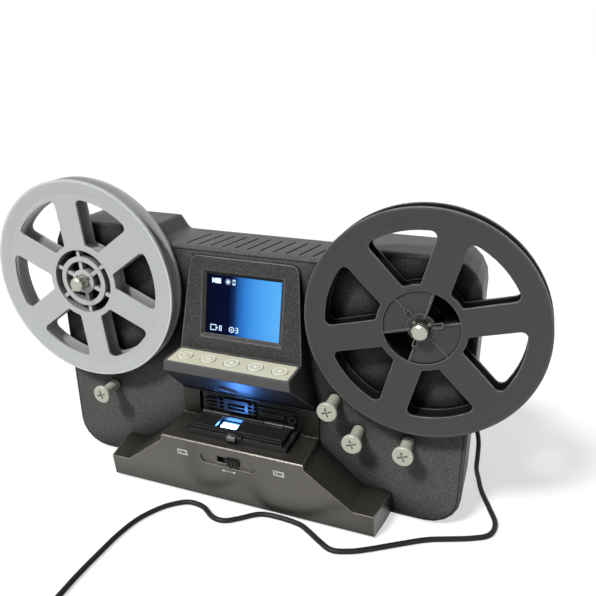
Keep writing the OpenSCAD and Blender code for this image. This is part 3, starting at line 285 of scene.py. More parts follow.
# Kinds of material
MOTTLE_SCALE = 35
ROUGH_SPAN = 0.06
GRAIN_SPAN = (0.4, 0.7)
SPECK_SPAN = (0.2, 0.6)
PATCH_SCALE = 0.8
PATCH_SPAN = (0.36, 0.62)
GROUND_SCALE = 1.1
GROUND_SPAN = (0.4, 0.62)
GROUND_SHARE = 0.6
GROUND_DARK = 0.3
PIT_GAIN = -0.8
UNDERSIDE_SHADE_SPAN = (-0.5, -0.3)
# Patches on the paled edges, which are partly rubbed and partly a painted highlight
WEAR_AND_HIGHLIGHT_SCALE = 140
LEAST_WEAR_AND_HIGHLIGHT = 0.45
FACE_BLEND = 0.0003
RIM_BLEND = 0.0004
PAINTED_SHADE_BLEND = 0.001
PLASTIC_IOR = 1.5
METAL_LINES = (900, 900, 40)
METAL_EDGE = 0.0003
STAIN_SCALE = 60
STAIN_DARK = 0.86
STAIN_PALE = 1.06
PAINTED_SHADE_DEPTH_BLEND = 0.0006
PAINTED_SHADE_ON_METAL = 0.04
TRACK_SCALE = 260
TRACK_GAP = 0.03
BOARD_DARK = (0.010, 0.085, 0.040)
BOARD_PALE = (0.018, 0.13, 0.06)
BOARD_TRACK = (0.03, 0.2, 0.09)
FIBRE_SCALE = 2600
DUST_SCALE = 900
DUST_SPAN = (0.45, 0.8)
DUST_SHARE = 0.25
DUST_DARK = 0.9
WIPE_LINES = (80, 80, 900)
WIPE_TURN = (0, 0.5, 0)
WIPE_SPAN = (0.3, 0.8)
WIPE_ROUGH = 0.05
GLOW_SCALE = 220
UPWARD_SPAN = (0.5, 0.9)
SIDE_GLOW = 0.004
RUBBER_SPAN = 0.08
SCREEN_HALF_W = 0.0238
SCREEN_RIPPLE = 0.0002
RIPPLE_LINES = (55, 55, 420)
RIPPLE_TURN = (0, 0.35, 0)
PIXEL_ROWS = 210
PIXEL_WAVE = 5.0
PIXEL_TURN = (0, -1.05, 0)
PIXEL_LEVELS = (0.87, 1.05)
SCREEN_DARKER = 0.9
SCREEN_STOPS = [(0.0, (0.0026, 0.0038, 0.016)), (0.30, (0.0030, 0.0050, 0.030)),
                (0.37, (0.006, 0.028, 0.11)), (0.42, (0.017, 0.105, 0.36)), (0.50, (0.030, 0.195, 0.60)),
                (0.62, (0.055, 0.300, 0.78)), (0.80, (0.088, 0.385, 0.87)), (1.0, (0.115, 0.450, 0.92))]


def tint(colour, gain):
    """The colour made lighter or darker."""
    return tuple(min(1.0, c * gain) for c in colour)


def speckled(s, base, colour, size, pale):
    """Pale specks in patches over a darker ground, and the cells that the specks lie in."""
    cells = s.cells(size)
    patches = s.remap(s.noise(size * PATCH_SCALE, detail=2.0), *PATCH_SPAN, 0, 1)
    specks = s.math("MULTIPLY", s.remap(cells, *SPECK_SPAN, 1, 0), patches)
    ground = s.remap(s.noise(size * GROUND_SCALE, rough=0.7), *GROUND_SPAN, GROUND_SHARE, 0)
    return s.mix(ground, s.mix(specks, base, pale), tint(colour, GROUND_DARK)), cells


def moulded(name, colour, rough, grain=1100, vary=0.12, strength=0.25, depth=0.00008, edge=0.0004, edge_wear_and_highlight=1.8,
            gloss=0.5, ior=PLASTIC_IOR, speck=None, painted_recess_shade=None, painted_reflection_tint=WHITE, paint_crease_shade=True, front=None,
            under=None, wear_and_highlight_from=None, painted_shade_above=None):
    """Moulded plastic: fine grain, slow colour change, rounded edges that are paler, partly rubbed and
    partly a painted highlight, and painted shade in creases.

    It may have pale specks; painted shade in recesses, with a yellowish painted reflection on the gloss
    outside them; another colour on its front, which is painted light, or on its underside, which is
    painted shade; a rim paled from a radius instead of at its edges, partly rubbed and partly a painted
    highlight; and more painted shade above a height.
    """
    s = Shader(name)
    fine = s.noise(grain, detail=2.0, rough=0.6)
    slow = s.noise(MOTTLE_SCALE, detail=4.0, rough=0.6)
    base = s.mix(slow, tint(colour, 1 - vary), tint(colour, 1 + vary))
    if speck is None:
        relief = fine
        base = s.mix(s.remap(fine, *GRAIN_SPAN, 0, 1), base, tint(colour, 1 + 2 * vary))
    else:
        base, cells = speckled(s, base, colour, **speck)
        relief = s.math("ADD", s.math("MULTIPLY", cells, PIT_GAIN), fine)
    normal = s.rounded(edge)
    open_edge, painted_crease_shade = s.edges(normal)
    # Edges, or a rim from a radius, paled: partly rubbed and partly a painted highlight
    if wear_and_highlight_from is not None:
        open_edge = s.beyond(*wear_and_highlight_from, RIM_BLEND)
    worn_and_highlit = s.math("MULTIPLY", open_edge, s.spread(s.noise(WEAR_AND_HIGHLIGHT_SCALE), LEAST_WEAR_AND_HIGHLIGHT, 1))
    base = s.mix(worn_and_highlit, base, tint(colour, edge_wear_and_highlight))
    # Painted light: the front face takes another, paler colour that stands in for the floor's reflection
    if front is not None:
        front_y, front_painted_light = front
        base = s.mix(s.past(s.axis("Y"), front_y, FACE_BLEND), front_painted_light, base)
    # Painted shade: faces that look downward take a darker colour
    if under is not None:
        base = s.mix(s.remap(s.axis("Z", s.face_normal()), *UNDERSIDE_SHADE_SPAN, 1, 0), base, under)
    # Painted shade in creases
    if paint_crease_shade:
        base = s.times(base, s.grey(painted_crease_shade))
    # Painted shade on colour and gloss where other surfaces stand close in front, as in recesses and behind
    # the reels
    if painted_recess_shade is not None:
        shade = s.shade(**painted_recess_shade)
        # More painted shade above a height
        if painted_shade_above is not None:
            shade_from_z, kept = painted_shade_above
            above = s.past(s.axis("Z"), shade_from_z, PAINTED_SHADE_BLEND)
            shade = s.mix(s.math("MULTIPLY", above, 1 - kept), shade, BLACK)
        base = s.times(base, shade)
        # The gloss carries the painted shade and a painted reflection tint
        s.feed("Specular Tint", s.times(shade, painted_reflection_tint))
    s.feed("Base Color", base)
    s.feed("Roughness", s.spread(slow, rough - ROUGH_SPAN, rough + ROUGH_SPAN))
    s.bump(relief, strength, depth, normal)
    s.set(Specular_IOR_Level=gloss, IOR=ior)
    return s.mat


def metal(name, colour, rough, painted_shade_from=None):
    """Turned or drawn metal: fine lines, a slow stain, a soft edge, and painted shade behind one depth."""
    s = Shader(name)
    lines = s.noise(1.0, detail=2.0, rough=0.5, vector=s.stretched(METAL_LINES))
    base = s.mix(s.noise(STAIN_SCALE), tint(colour, STAIN_DARK), tint(colour, STAIN_PALE))
    # Painted shade: the metal turns almost black behind this depth, standing in for the shadow inside the
    # hub
    if painted_shade_from is not None:
        base = s.mix(s.past(s.axis("Y"), painted_shade_from, PAINTED_SHADE_DEPTH_BLEND), base, tint(colour, PAINTED_SHADE_ON_METAL))
    s.feed("Base Color", base)
    s.feed("Roughness", s.spread(lines, rough - 0.08, rough + 0.1))
    s.bump(lines, strength=0.08, distance=0.00003, normal=s.rounded(METAL_EDGE))
    s.set(Metallic=1.0)
    return s.mat


def board(name):
    """Lacquered circuit board with tracks."""
    s = Shader(name)
    tracks = s.add("ShaderNodeTexBrick")
    tracks.inputs["Scale"].default_value = TRACK_SCALE
    tracks.inputs["Mortar Size"].default_value = TRACK_GAP
    s.link(s.coord, tracks.inputs["Vector"])
    slow = s.noise(STAIN_SCALE)
    s.feed("Base Color", s.mix(tracks.outputs["Fac"], s.mix(slow, BOARD_DARK, BOARD_PALE), BOARD_TRACK))
    s.feed("Roughness", s.spread(slow, 0.25, 0.4))
    s.bump(tracks.outputs["Fac"], strength=0.2, distance=0.00005)
    return s.mat


def felt(name, colour):
    """Felt of short fibres."""
    s = Shader(name)
    fibre = s.noise(FIBRE_SCALE, detail=4.0, rough=0.7)
    s.feed("Base Color", s.mix(fibre, tint(colour, 0.6), tint(colour, 1.4)))
    s.feed("Roughness", s.spread(fibre, 0.8, 0.95))
    s.bump(fibre, strength=0.6, distance=0.0003)
    s.set(Sheen_Weight=0.4)
    return s.mat


def clear(name, colour, rough, ior):
    """Clear plastic or glass with a faint haze of dust and fine wiping marks."""
    s = Shader(name)
    dust = s.remap(s.noise(DUST_SCALE, detail=4.0, rough=0.7), *DUST_SPAN, 0, DUST_SHARE)
    wiped = s.noise(1.0, detail=2.0, rough=0.5, vector=s.stretched(WIPE_LINES, WIPE_TURN))
    s.feed("Base Color", s.mix(dust, colour, tint(colour, DUST_DARK)))
    s.feed("Roughness", s.remap(wiped, *WIPE_SPAN, rough, rough + WIPE_ROUGH))
    s.set(Transmission_Weight=1.0, IOR=ior)
    return s.mat


def glowing(name, colour, strength, soft=0.1, upward=False):
    """A lit face: even light with a slow change over it, and from its top alone where it shines upward."""
    s = Shader(name)
    slow = s.noise(GLOW_SCALE, detail=2.0)
    light = s.mix(slow, tint(colour, 1 - soft), colour)
    s.feed("Base Color", light)
    if upward:
        top = s.remap(s.axis("Z", s.face_normal()), *UPWARD_SPAN, 0, 1)
        light = s.mix(top, tint(colour, SIDE_GLOW), light)
    s.feed("Emission Color", light)
    s.feed("Roughness", s.spread(slow, 0.35, 0.5))
    s.set(Emission_Strength=strength)
    return s.mat


def lit_screen(name):
    """Screen picture: dark at the left, blue towards the right, with fine lines of pixels."""
    s = Shader(name)
    ripple = s.noise(1.0, detail=2.0, rough=0.5, vector=s.stretched(RIPPLE_LINES, RIPPLE_TURN))
    across = s.math("ADD", s.axis("X"), s.spread(ripple, -SCREEN_RIPPLE, SCREEN_RIPPLE))
    ramp = s.add("ShaderNodeValToRGB")
    stops = ramp.color_ramp.elements
    stops.remove(stops[0])
    stops[0].position = SCREEN_STOPS[0][0]
    stops[0].color = (*SCREEN_STOPS[0][1], 1)
    for position, colour in SCREEN_STOPS[1:]:
        stops.new(position).color = (*colour, 1)
    s.link(s.remap(across, -SCREEN_HALF_W, SCREEN_HALF_W, 0, 1), ramp.inputs[0])
    rows = s.add("ShaderNodeTexWave", wave_type="BANDS", bands_direction="Z")
    rows.inputs["Scale"].default_value = PIXEL_ROWS
    rows.inputs["Distortion"].default_value = PIXEL_WAVE
    s.link(s.stretched((1, 1, 1), PIXEL_TURN), rows.inputs["Vector"])
    picture = s.times(ramp.outputs[0], s.grey(s.remap(rows.outputs["Fac"], 0, 1, *PIXEL_LEVELS)))
    s.feed("Base Color", s.mix(SCREEN_DARKER, picture, BLACK))
    s.feed("Emission Color", picture)
    s.feed("Roughness", s.spread(ripple, 0.25, 0.35))
    s.set(Emission_Strength=1.0, Specular_IOR_Level=0.0)
    return s.mat


def rubber(name, colour, rough):
    """Soft black rubber with a fine grain."""
    s = Shader(name)
    fine = s.noise(1800)
    s.feed("Base Color", s.mix(s.noise(70), tint(colour, 0.8), tint(colour, 1.3)))
    s.feed("Roughness", s.spread(fine, rough - RUBBER_SPAN, rough + RUBBER_SPAN))
    s.bump(fine, strength=0.15, distance=0.00005)
    s.set(Specular_IOR_Level=0.2)
    return s.mat


# Materials of the part
# Painted shade where other surfaces stand close in front: reach, occlusion span and darkest level
PAINTED_RECESS_SHADE = {"reach": 0.030, "low": 0.15, "high": 0.75, "dark": 0.18}
COVER_PAINTED_SHADE = {"reach": 0.030, "low": 0.34, "high": 0.82, "dark": 0.06}
BASE_PAINTED_SHADE = {"reach": 0.030, "low": 0.28, "high": 0.80, "dark": 0.07}
COVER_SPECK = {"size": 1750, "pale": (0.215, 0.215, 0.214)}
BEZEL_SPECK = {"size": 1400, "pale": (0.125, 0.125, 0.124)}
# Painted shade on the walls of the base's column above the table, under the key shelf: height and share kept
COLUMN_PAINTED_SHADE = ((TABLE_Z + 0.5) * MM, 0.35)
# Painted light: the shelf lip's front face is paler, standing in for the floor's reflection
SHELF_FRONT_PAINTED_LIGHT = ((housing_low[1] + 0.3) * MM, (0.080, 0.081, 0.082))
GREY_REEL = {"colour": (0.43, 0.45, 0.445), "rough": 0.36, "grain": 1400, "vary": 0.03, "strength": 0.08,
             "gloss": 0.4, "painted_recess_shade": {"reach": 0.02, "low": 0.1, "high": 0.7, "dark": 0.3}, "paint_crease_shade": False}
DARK_REEL = {"colour": (0.036, 0.036, 0.0355), "rough": 0.36, "grain": 1400, "vary": 0.1, "strength": 0.1,
             "gloss": 0.35, "painted_recess_shade": {"reach": 0.02, "low": 0.35, "high": 0.95, "dark": 0.06}, "paint_crease_shade": False}
# A pale band on the outer rims of the front flanges, partly rubbed and partly a painted highlight
RIM_EDGE = 0.0001
RIM_WEAR_AND_HIGHLIGHT_R = (FLANGE_R - 1.2) * MM
# Painted shade: the spindles go almost black behind the hub, standing in for the shadow inside it
SPINDLE_PAINTED_SHADE_Y = (HUB_Y + 0.2) * MM
BEIGE_KEYS = {"rough": 0.42, "grain": 900, "vary": 0.05, "strength": 0.1}
PRINT = {"rough": 0.5, "grain": 2600, "strength": 0.05, "edge": 0.0001, "edge_wear_and_highlight": 1.0}

cover_mat = moulded("cover_speckle", (0.081, 0.081, 0.0805), 0.52, speck=COVER_SPECK, strength=0.5,
                    depth=0.00012, gloss=0.12, painted_recess_shade=COVER_PAINTED_SHADE)
rear_mat = moulded("rear_satin", (0.050, 0.049, 0.048), 0.45, strength=0.2, gloss=0.25, edge_wear_and_highlight=2.0, painted_recess_shade=PAINTED_RECESS_SHADE)
# Base: pale edges mostly a painted highlight, a yellowish painted reflection tint, and painted shade
base_mat = moulded("base_satin", (0.024, 0.0225, 0.0195), 0.34, grain=1900, vary=0.08, strength=0.1,
                   depth=0.00005, edge=0.0009, edge_wear_and_highlight=14.0, gloss=1.0, ior=1.54, painted_recess_shade=BASE_PAINTED_SHADE,
                   painted_reflection_tint=(1.0, 0.955, 0.86), painted_shade_above=COLUMN_PAINTED_SHADE)
# Bezel: pale top edges mostly a painted highlight, a front painted light and an underside painted shade
bezel_mat = moulded("bezel_grain", (0.037, 0.037, 0.0366), 0.5, speck=BEZEL_SPECK, strength=0.4,
                    depth=0.0001, edge=0.0013, edge_wear_and_highlight=9.0, gloss=0.2, painted_recess_shade=PAINTED_RECESS_SHADE, front=SHELF_FRONT_PAINTED_LIGHT,
                    under=(0.012, 0.012, 0.012))
gate_mat = moulded("gate_black", (0.014, 0.014, 0.0145), 0.36, strength=0.12, edge=0.0003, edge_wear_and_highlight=4.0,
                   gloss=0.25)
tab_mat = moulded("tab_satin", (0.085, 0.083, 0.081), 0.42, strength=0.15, edge=0.0003, edge_wear_and_highlight=3.0, gloss=0.3)
strip_mat = moulded("strip_beige", (0.575, 0.57, 0.44), edge=0.0003, edge_wear_and_highlight=1.15, **BEIGE_KEYS)
key_mat = moulded("key_beige", (0.56, 0.555, 0.425), edge=0.0002, edge_wear_and_highlight=1.1, **BEIGE_KEYS)
print_mat = moulded("print_cream", (0.93, 0.925, 0.85), vary=0.05, **PRINT)
white_mat = moulded("print_white", (0.78, 0.78, 0.74), vary=0.08, **PRINT)
glass_mat = clear("screen_glass", (0.97, 0.98, 1.0), 0.03, 1.015)
lens_mat = clear("lens_glass", (0.55, 0.6, 0.95), 0.02, 1.6)
lcd_mat = lit_screen("lit_screen")
icon_mat = glowing("screen_icons", (0.50, 0.68, 0.92), 0.85, soft=0.05)
board_mat = board("circuit_board")
light_mat = glowing("lit_diffuser", (0.09, 0.31, 1.0), 95.0, upward=True)
# Reels: the black reel's pale window edges are mostly a painted highlight, and both have painted shade
grey_reel_mat = moulded("reel_grey", edge=0.0005, edge_wear_and_highlight=1.3, **GREY_REEL)
dark_reel_mat = moulded("reel_black", edge=0.0008, edge_wear_and_highlight=9.0, **DARK_REEL)
grey_rim_mat = moulded("rim_grey", edge=RIM_EDGE, edge_wear_and_highlight=2.0, wear_and_highlight_from=(SUPPLY_AXIS, RIM_WEAR_AND_HIGHLIGHT_R),
                       **GREY_REEL)
dark_rim_mat = moulded("rim_black", edge=RIM_EDGE, edge_wear_and_highlight=2.5, wear_and_highlight_from=(TAKEUP_AXIS, RIM_WEAR_AND_HIGHLIGHT_R),
                       **DARK_REEL)
roller_mat = moulded("roller_grey", (0.39, 0.40, 0.335), 0.4, grain=1600, vary=0.05, strength=0.12,
                     edge_wear_and_highlight=1.25)
steel_mat = metal("steel", (0.66, 0.65, 0.60), 0.28)
spindle_mat = metal("spindle_steel", (0.45, 0.45, 0.39), 0.30, painted_shade_from=SPINDLE_PAINTED_SHADE_Y)
brass_mat = metal("brass", (0.62, 0.46, 0.20), 0.3)
felt_mat = felt("felt", (0.22, 0.03, 0.03))
gear_mat = moulded("gear_white", (0.72, 0.70, 0.62), 0.45, vary=0.05, strength=0.1, edge_wear_and_highlight=1.1)
foot_mat = rubber("foot_rubber", (0.012, 0.012, 0.012), 0.7)
cord_mat = rubber("cord_sheath", (0.011, 0.011, 0.0115), 0.45)
black_mat = moulded("black_moulding", (0.011, 0.011, 0.0115), 0.42, strength=0.15, edge=0.0003, edge_wear_and_highlight=6.0,
                    gloss=0.2)

NODE_MATERIALS = {
    cover_mat: "front_cover",
    rear_mat: "rear_cover base_plate",
    base_mat: "base_housing",
    bezel_mat: "screen_housing",
    gate_mat: "gate_plate gate_door film_track hinge_pin",
    strip_mat: "button_strip",
    key_mat: "button_1 button_2 button_3 button_4 button_5",
    glass_mat: "screen_window",
    lens_mat: "camera_lens",
    lcd_mat: "lcd_module",
    board_mat: "keypad_board backlight_board sensor_board main_board jack_board",
    light_mat: "diffuser",
    grey_reel_mat: "supply_hub supply_front_flange supply_back_flange",
    dark_reel_mat: "takeup_hub takeup_front_flange takeup_back_flange",
    roller_mat: "guide_roller_1 guide_roller_2 guide_roller_3 guide_roller_4",
    spindle_mat: "supply_spindle takeup_spindle",
    steel_mat: "screws film_claw claw_cam claw_motor supply_collar "
               "takeup_motor motor_bracket guide_pins card_socket",
    brass_mat: "spindle_bushes",
    felt_mat: "supply_felt",
    gear_mat: "takeup_gear motor_pinion",
    foot_mat: "feet",
    cord_mat: "cord_lead cord_coil",
    black_mat: "camera_barrel film_select_slider select_switch power_jack cord_plug far_plug",
}
for material, names in NODE_MATERIALS.items():
    for name in names.split():
        slots = nodes[name].data.materials
        slots.clear()
        slots.append(material)


# Cord: the route of the CAD solids, in millimetres, first down from the jack and then along the floor
CORD_R = 1.6
LIE_Z = 1.7
LEAD_DOWN = [(112, 60, 36), (112.5, 68, 35.6), (116, 77, 33), (124, 83, 27), (132, 82, 20), (136, 75, 12.5),
             (137, 66, 6), (137.5, 56, 2.2)]
LEAD_LYING = [(140, 45), (143, 33), (149, 18), (153.5, 5), (151, -6), (141, -12.5), (129, -17.5),
              (117, -22.6), (102, -32), (87.5, -41.4), (78, -46.5), (68, -49), (59, -44.5), (51, -39.3),
              (43.6, -35.6), (30.3, -34.2), (18.2, -35.6), (7.7, -43.6), (0, -48.3), (-8, -47.6),
              (-17.5, -41.5), (-27.5, -40.5), (-35.5, -45), (-42.5, -52.5), (-49.2, -65), (-52.6, -80),
              (-54, -96), (-55, -114), (-55, -132), (-55, -146)]
LEAD = LEAD_DOWN + [(x, y, LIE_Z) for x, y in LEAD_LYING]
LEAD_STEPS = 6
COIL_TURNS = 2.375
COIL_CLIMB = 0.5
COIL_PITCH = 2 * CORD_R + 0.55
COIL_OUT_R = 20.5
COIL_RISE = 2 * CORD_R + 0.5
COIL_X = LEAD[-1][0] + COIL_OUT_R
COIL_Y = LEAD[-1][1] - 2 * CORD_R
COIL_FULL = 360 * (2 * COIL_TURNS + COIL_CLIMB)
COIL_STEPS = 252
TAIL_LEN = 20.5
TAIL_STEPS = 5
CORD_ROUND = 4


def curve_point(points, i, t):
    """A smooth curve through the points, at the share t of the way from one to the next."""
    last = len(points) - 1
    a, b, c, d = (Vector(points[min(max(i + k, 0), last)]) for k in (-1, 0, 1, 2))
    bend = 2 * a - 5 * b + 4 * c - d
    twist = 3 * b - a - 3 * c + d
    return 0.5 * (2 * b + (c - a) * t + bend * t * t + twist * t ** 3)


def coil_point(degrees):
    """The coil winds inwards, climbs on itself in half a turn, and winds outwards on top."""
    turns = degrees / 360
    climb = min(max((turns - COIL_TURNS) / COIL_CLIMB, 0), 1)
    if turns < COIL_TURNS:
        r = COIL_OUT_R - COIL_PITCH * turns
    else:
        outwards = max(turns - COIL_TURNS - COIL_CLIMB, 0)
        r = COIL_OUT_R - COIL_TURNS * COIL_PITCH - COIL_PITCH * math.sin(math.pi * climb) / 3
        r += COIL_PITCH * outwards
    a = math.pi + math.radians(degrees)
    return Vector((COIL_X + r * math.cos(a), COIL_Y + r * math.sin(a), LIE_Z + COIL_RISE * climb))


route = [curve_point(LEAD, i, k / LEAD_STEPS) for i in range(len(LEAD) - 1) for k in range(LEAD_STEPS)]
route.append(Vector(LEAD[-1]))
route += [coil_point(COIL_FULL * k / COIL_STEPS) for k in range(COIL_STEPS + 1)]
tail_angle = math.pi + math.radians(COIL_FULL)
tail_way = Vector((-math.sin(tail_angle), math.cos(tail_angle), 0))
route += [coil_point(COIL_FULL) + tail_way * TAIL_LEN * k / TAIL_STEPS for k in range(1, TAIL_STEPS + 1)]
route = [point * MM for point in route]

cord_curve = bpy.data.curves.new("power_cord", "CURVE")
cord_curve.dimensions = "3D"
cord_curve.bevel_depth = CORD_R * MM
cord_curve.bevel_resolution = CORD_ROUND
cord_curve.use_fill_caps = True
spline = cord_curve.splines.new("POLY")
spline.points.add(len(route) - 1)
for point, place in zip(spline.points, route):
    point.co = (*place, 1)
spline.use_smooth = True
cord = bpy.data.objects.new("power_cord", cord_curve)
cord_curve.materials.append(cord_mat)
scene.collection.objects.link(cord)
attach(cord, BODY)
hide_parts("cord_lead", "cord_coil")


# Mesh helpers, with points in millimetres
def piece(name, bm, material, body=BODY, smooth=None):
    mesh = bpy.data.meshes.new(name)
    bmesh.ops.recalc_face_normals(bm, faces=bm.faces)
    bmesh.ops.scale(bm, vec=(MM, MM, MM), verts=bm.verts)
    bm.to_mesh(mesh)
    bm.free()
    mesh.materials.append(material)
    obj = bpy.data.objects.new(name, mesh)
    scene.collection.objects.link(obj)
    if smooth is not None:
        mesh.shade_smooth()
        mesh.set_sharp_from_angle(angle=math.radians(smooth))
    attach(obj, body)
    return obj


def prism(bm, outline, depth, place):
    """A flat plate: an outline in local x and z, with local y from 0 back to depth."""
    front = [bm.verts.new(place @ Vector((x, 0, z))) for x, z in outline]
    back = [bm.verts.new(place @ Vector((x, depth, z))) for x, z in outline]
    bm.faces.new(front)
    bm.faces.new(back[::-1])
    for i in range(len(outline)):
        j = (i + 1) % len(outline)
        bm.faces.new((front[j], front[i], back[i], back[j]))


def box(bm, x0, x1, z0, z1, depth, place):
    prism(bm, [(x0, z0), (x1, z0), (x1, z1), (x0, z1)], depth, place)


def skin(bm, rows, closed=True):
    """Faces from each row of points, a loop, to the next. An open run of rows gets its two ends."""
    count = len(rows) if closed else len(rows) - 1
    for k in range(count):
        a = rows[k]
        b = rows[(k + 1) % len(rows)]
        for i in range(len(a)):
            j = (i + 1) % len(a)
            bm.faces.new((a[i], a[j], b[j], b[i]))
    if not closed:
        bm.faces.new(rows[0][::-1])
        bm.faces.new(rows[-1])


def band_row(bm, r_in, r_out, depth, place, degrees, x=0):
    """The four corners of a ring's section at one angle."""
    a = math.radians(degrees)
    return [bm.verts.new(place @ Vector((x + r * math.cos(a), y, r * math.sin(a))))
            for r, y in ((r_in, 0), (r_out, 0), (r_out, depth), (r_in, depth))]


def ring(bm, r_in, r_out, depth, place, start=0, sweep=360, steps=48):
    whole = sweep >= 360
    turns = [start + sweep * k / steps for k in range(steps if whole else steps + 1)]
    skin(bm, [band_row(bm, r_in, r_out, depth, place, turn) for turn in turns], whole)


def disc(bm, r, depth, place, steps=24):
    turns = [2 * math.pi * k / steps for k in range(steps)]
    prism(bm, [(r * math.cos(a), r * math.sin(a)) for a in turns], depth, place)


def frame_line(bm, x0, x1, z0, z1, w, depth, place):
    """A rectangle drawn as a line of width w."""
    rows = []
    for x, z, in_x, in_z in ((x0, z0, 1, 1), (x1, z0, -1, 1), (x1, z1, -1, -1), (x0, z1, 1, -1)):
        rows.append([bm.verts.new(place @ Vector((x + in_x * i, y, z + in_z * i)))
                     for i, y in ((0, 0), (w, 0), (w, depth), (0, depth))])
    skin(bm, rows)


# Dark hub: a face of four sectors just behind the flange, ribs, and a keyed slot at every second rib
HUB_FACE_Y = HUB_Y + 0.15
HUB_FACE_T = 0.9
HUB_IN_R = 5.3
HUB_BOSS_R = 7.9
HUB_OUT_R = 20.25
BOSS_RISE = 0.3
RIB_COUNT = 6
RIB_PHASE = 15.5
RIB_STEP = 360 / RIB_COUNT
RIB_RISE = 0.55
RIB_HALF = 0.6
RIB_T = 1.5
SLOT_END = 10.6
SLOT_IN_R = 0.95
SLOT_OUT_R = 1.65
SLOT_STEPS = 10
SECTOR_STEPS = 30
FACE_PAIRS = (1, 4)

on_hub = Matrix.Translation((TAKEUP_AXIS.x / MM, HUB_FACE_Y, TAKEUP_AXIS.z / MM))
on_boss = on_hub @ Matrix.Translation((0, -BOSS_RISE, 0))
bm = bmesh.new()
for i in FACE_PAIRS:
    arc = {"start": RIB_PHASE + RIB_STEP * i, "sweep": 2 * RIB_STEP, "steps": SECTOR_STEPS}
    ring(bm, HUB_BOSS_R, HUB_OUT_R, HUB_FACE_T, on_hub, **arc)
    ring(bm, HUB_IN_R, HUB_BOSS_R, HUB_FACE_T, on_boss, **arc)
slot_bend = [(180 * k / SLOT_STEPS - 90, SLOT_END) for k in range(SLOT_STEPS + 1)]
slot_path = [(-90, HUB_IN_R)] + slot_bend + [(90, HUB_IN_R)]
for i in range(RIB_COUNT):
    turn = Matrix.Rotation(math.radians(-RIB_PHASE - RIB_STEP * i), 4, "Y")
    rib = on_hub @ turn @ Matrix.Translation((0, -RIB_RISE, 0))
    slotted = i % 2 == 0
    box(bm, SLOT_END if slotted else HUB_IN_R, HUB_OUT_R, -RIB_HALF, RIB_HALF, RIB_T, rib)
    if slotted:
        rows = [band_row(bm, SLOT_IN_R, SLOT_OUT_R, RIB_T, rib, degrees, x) for degrees, x in slot_path]
        skin(bm, rows, closed=False)
piece("takeup_hub_face", bm, dark_reel_mat, body="takeup_reel")


# Front flanges: a shallow rise to the rim
RIM_Y = flange_low[1]
FLANGE_Y = RIM_Y + 0.6
RISE_R = FLANGE_R - 8
RIM_R = FLANGE_R - 2
RIM_TOP_R = FLANGE_R - 0.6
RISE_T = 0.3
RISE_PROUD = 0.01
RIM_STEPS = 144
RIM_SMOOTH = 20
RIM_SECTION = ((RISE_R, FLANGE_Y - RISE_PROUD), (RIM_R, RIM_Y - RISE_PROUD),
               (RIM_TOP_R, RIM_Y - 2 * RISE_PROUD), (RIM_TOP_R, RIM_Y + RISE_T), (RISE_R, FLANGE_Y + RISE_T))
RIMS = (("supply", SUPPLY_AXIS, "grey_reel", grey_rim_mat),
        ("takeup", TAKEUP_AXIS, "black_reel", dark_rim_mat))

for reel, axis, slot, material in RIMS:
    bm = bmesh.new()
    rows = []
    for k in range(RIM_STEPS):
        a = 2 * math.pi * k / RIM_STEPS
        rows.append([bm.verts.new((axis.x / MM + r * math.cos(a), y, axis.z / MM + r * math.sin(a)))
                     for r, y in RIM_SECTION])
    skin(bm, rows)
    piece(f"{reel}_rim_rise", bm, material, body=f"{reel}_reel", smooth=RIM_SMOOTH)


# Gate door: a finger tab that slopes down in front of the gate, with its outline in y and z
TAB_X = -4.3
TAB_W = 5.2
TAB = [(-28.4, 49.95), (-30.4, 49.3), (-31.1, 48.5), (-31.2, 46.6), (-30.9, 46.3), (-30.15, 46.3),
       (-30.15, 48.2), (-28.4, 48.9)]

sideways = Matrix.Rotation(math.radians(90), 4, "Z") @ Matrix.Scale(-1, 4, (0, 1, 0))
bm = bmesh.new()
prism(bm, TAB, TAB_W, Matrix.Translation((TAB_X, 0, 0)) @ sideways)
piece("door_tab", bm, tab_mat, body="gate_door")


# Seam of the front panel: a thin dark line just inside the outline of the covers
FACE_Y = cover_low[1]
BODY_HALF = cover_high[0]
FOOT_TOP = cover_low[2]
EAR_TOP = cover_high[2]
EAR_HALF = 62
DIP_HALF = 56
DIP_Z = 158.5
CORNER_R = 20
EAR_R = 3
DIP_R = 4
CORNER_STEPS = 5
SEAM_IN = 1.7
SEAM_W = 0.55
SEAM_FRONT = FACE_Y - 0.05
SEAM_BACK = FACE_Y + 0.4
COVER_CORNERS = [(-BODY_HALF, FOOT_TOP, CORNER_R), (BODY_HALF, FOOT_TOP, CORNER_R),
                 (BODY_HALF, EAR_TOP, CORNER_R), (EAR_HALF, EAR_TOP, EAR_R), (DIP_HALF, DIP_Z, DIP_R),
                 (-DIP_HALF, DIP_Z, DIP_R), (-EAR_HALF, EAR_TOP, EAR_R), (-BODY_HALF, EAR_TOP, CORNER_R)]
SEAM_SECTION = ((SEAM_IN, SEAM_FRONT), (SEAM_IN + SEAM_W, SEAM_FRONT), (SEAM_IN + SEAM_W, SEAM_BACK),
                (SEAM_IN, SEAM_BACK))


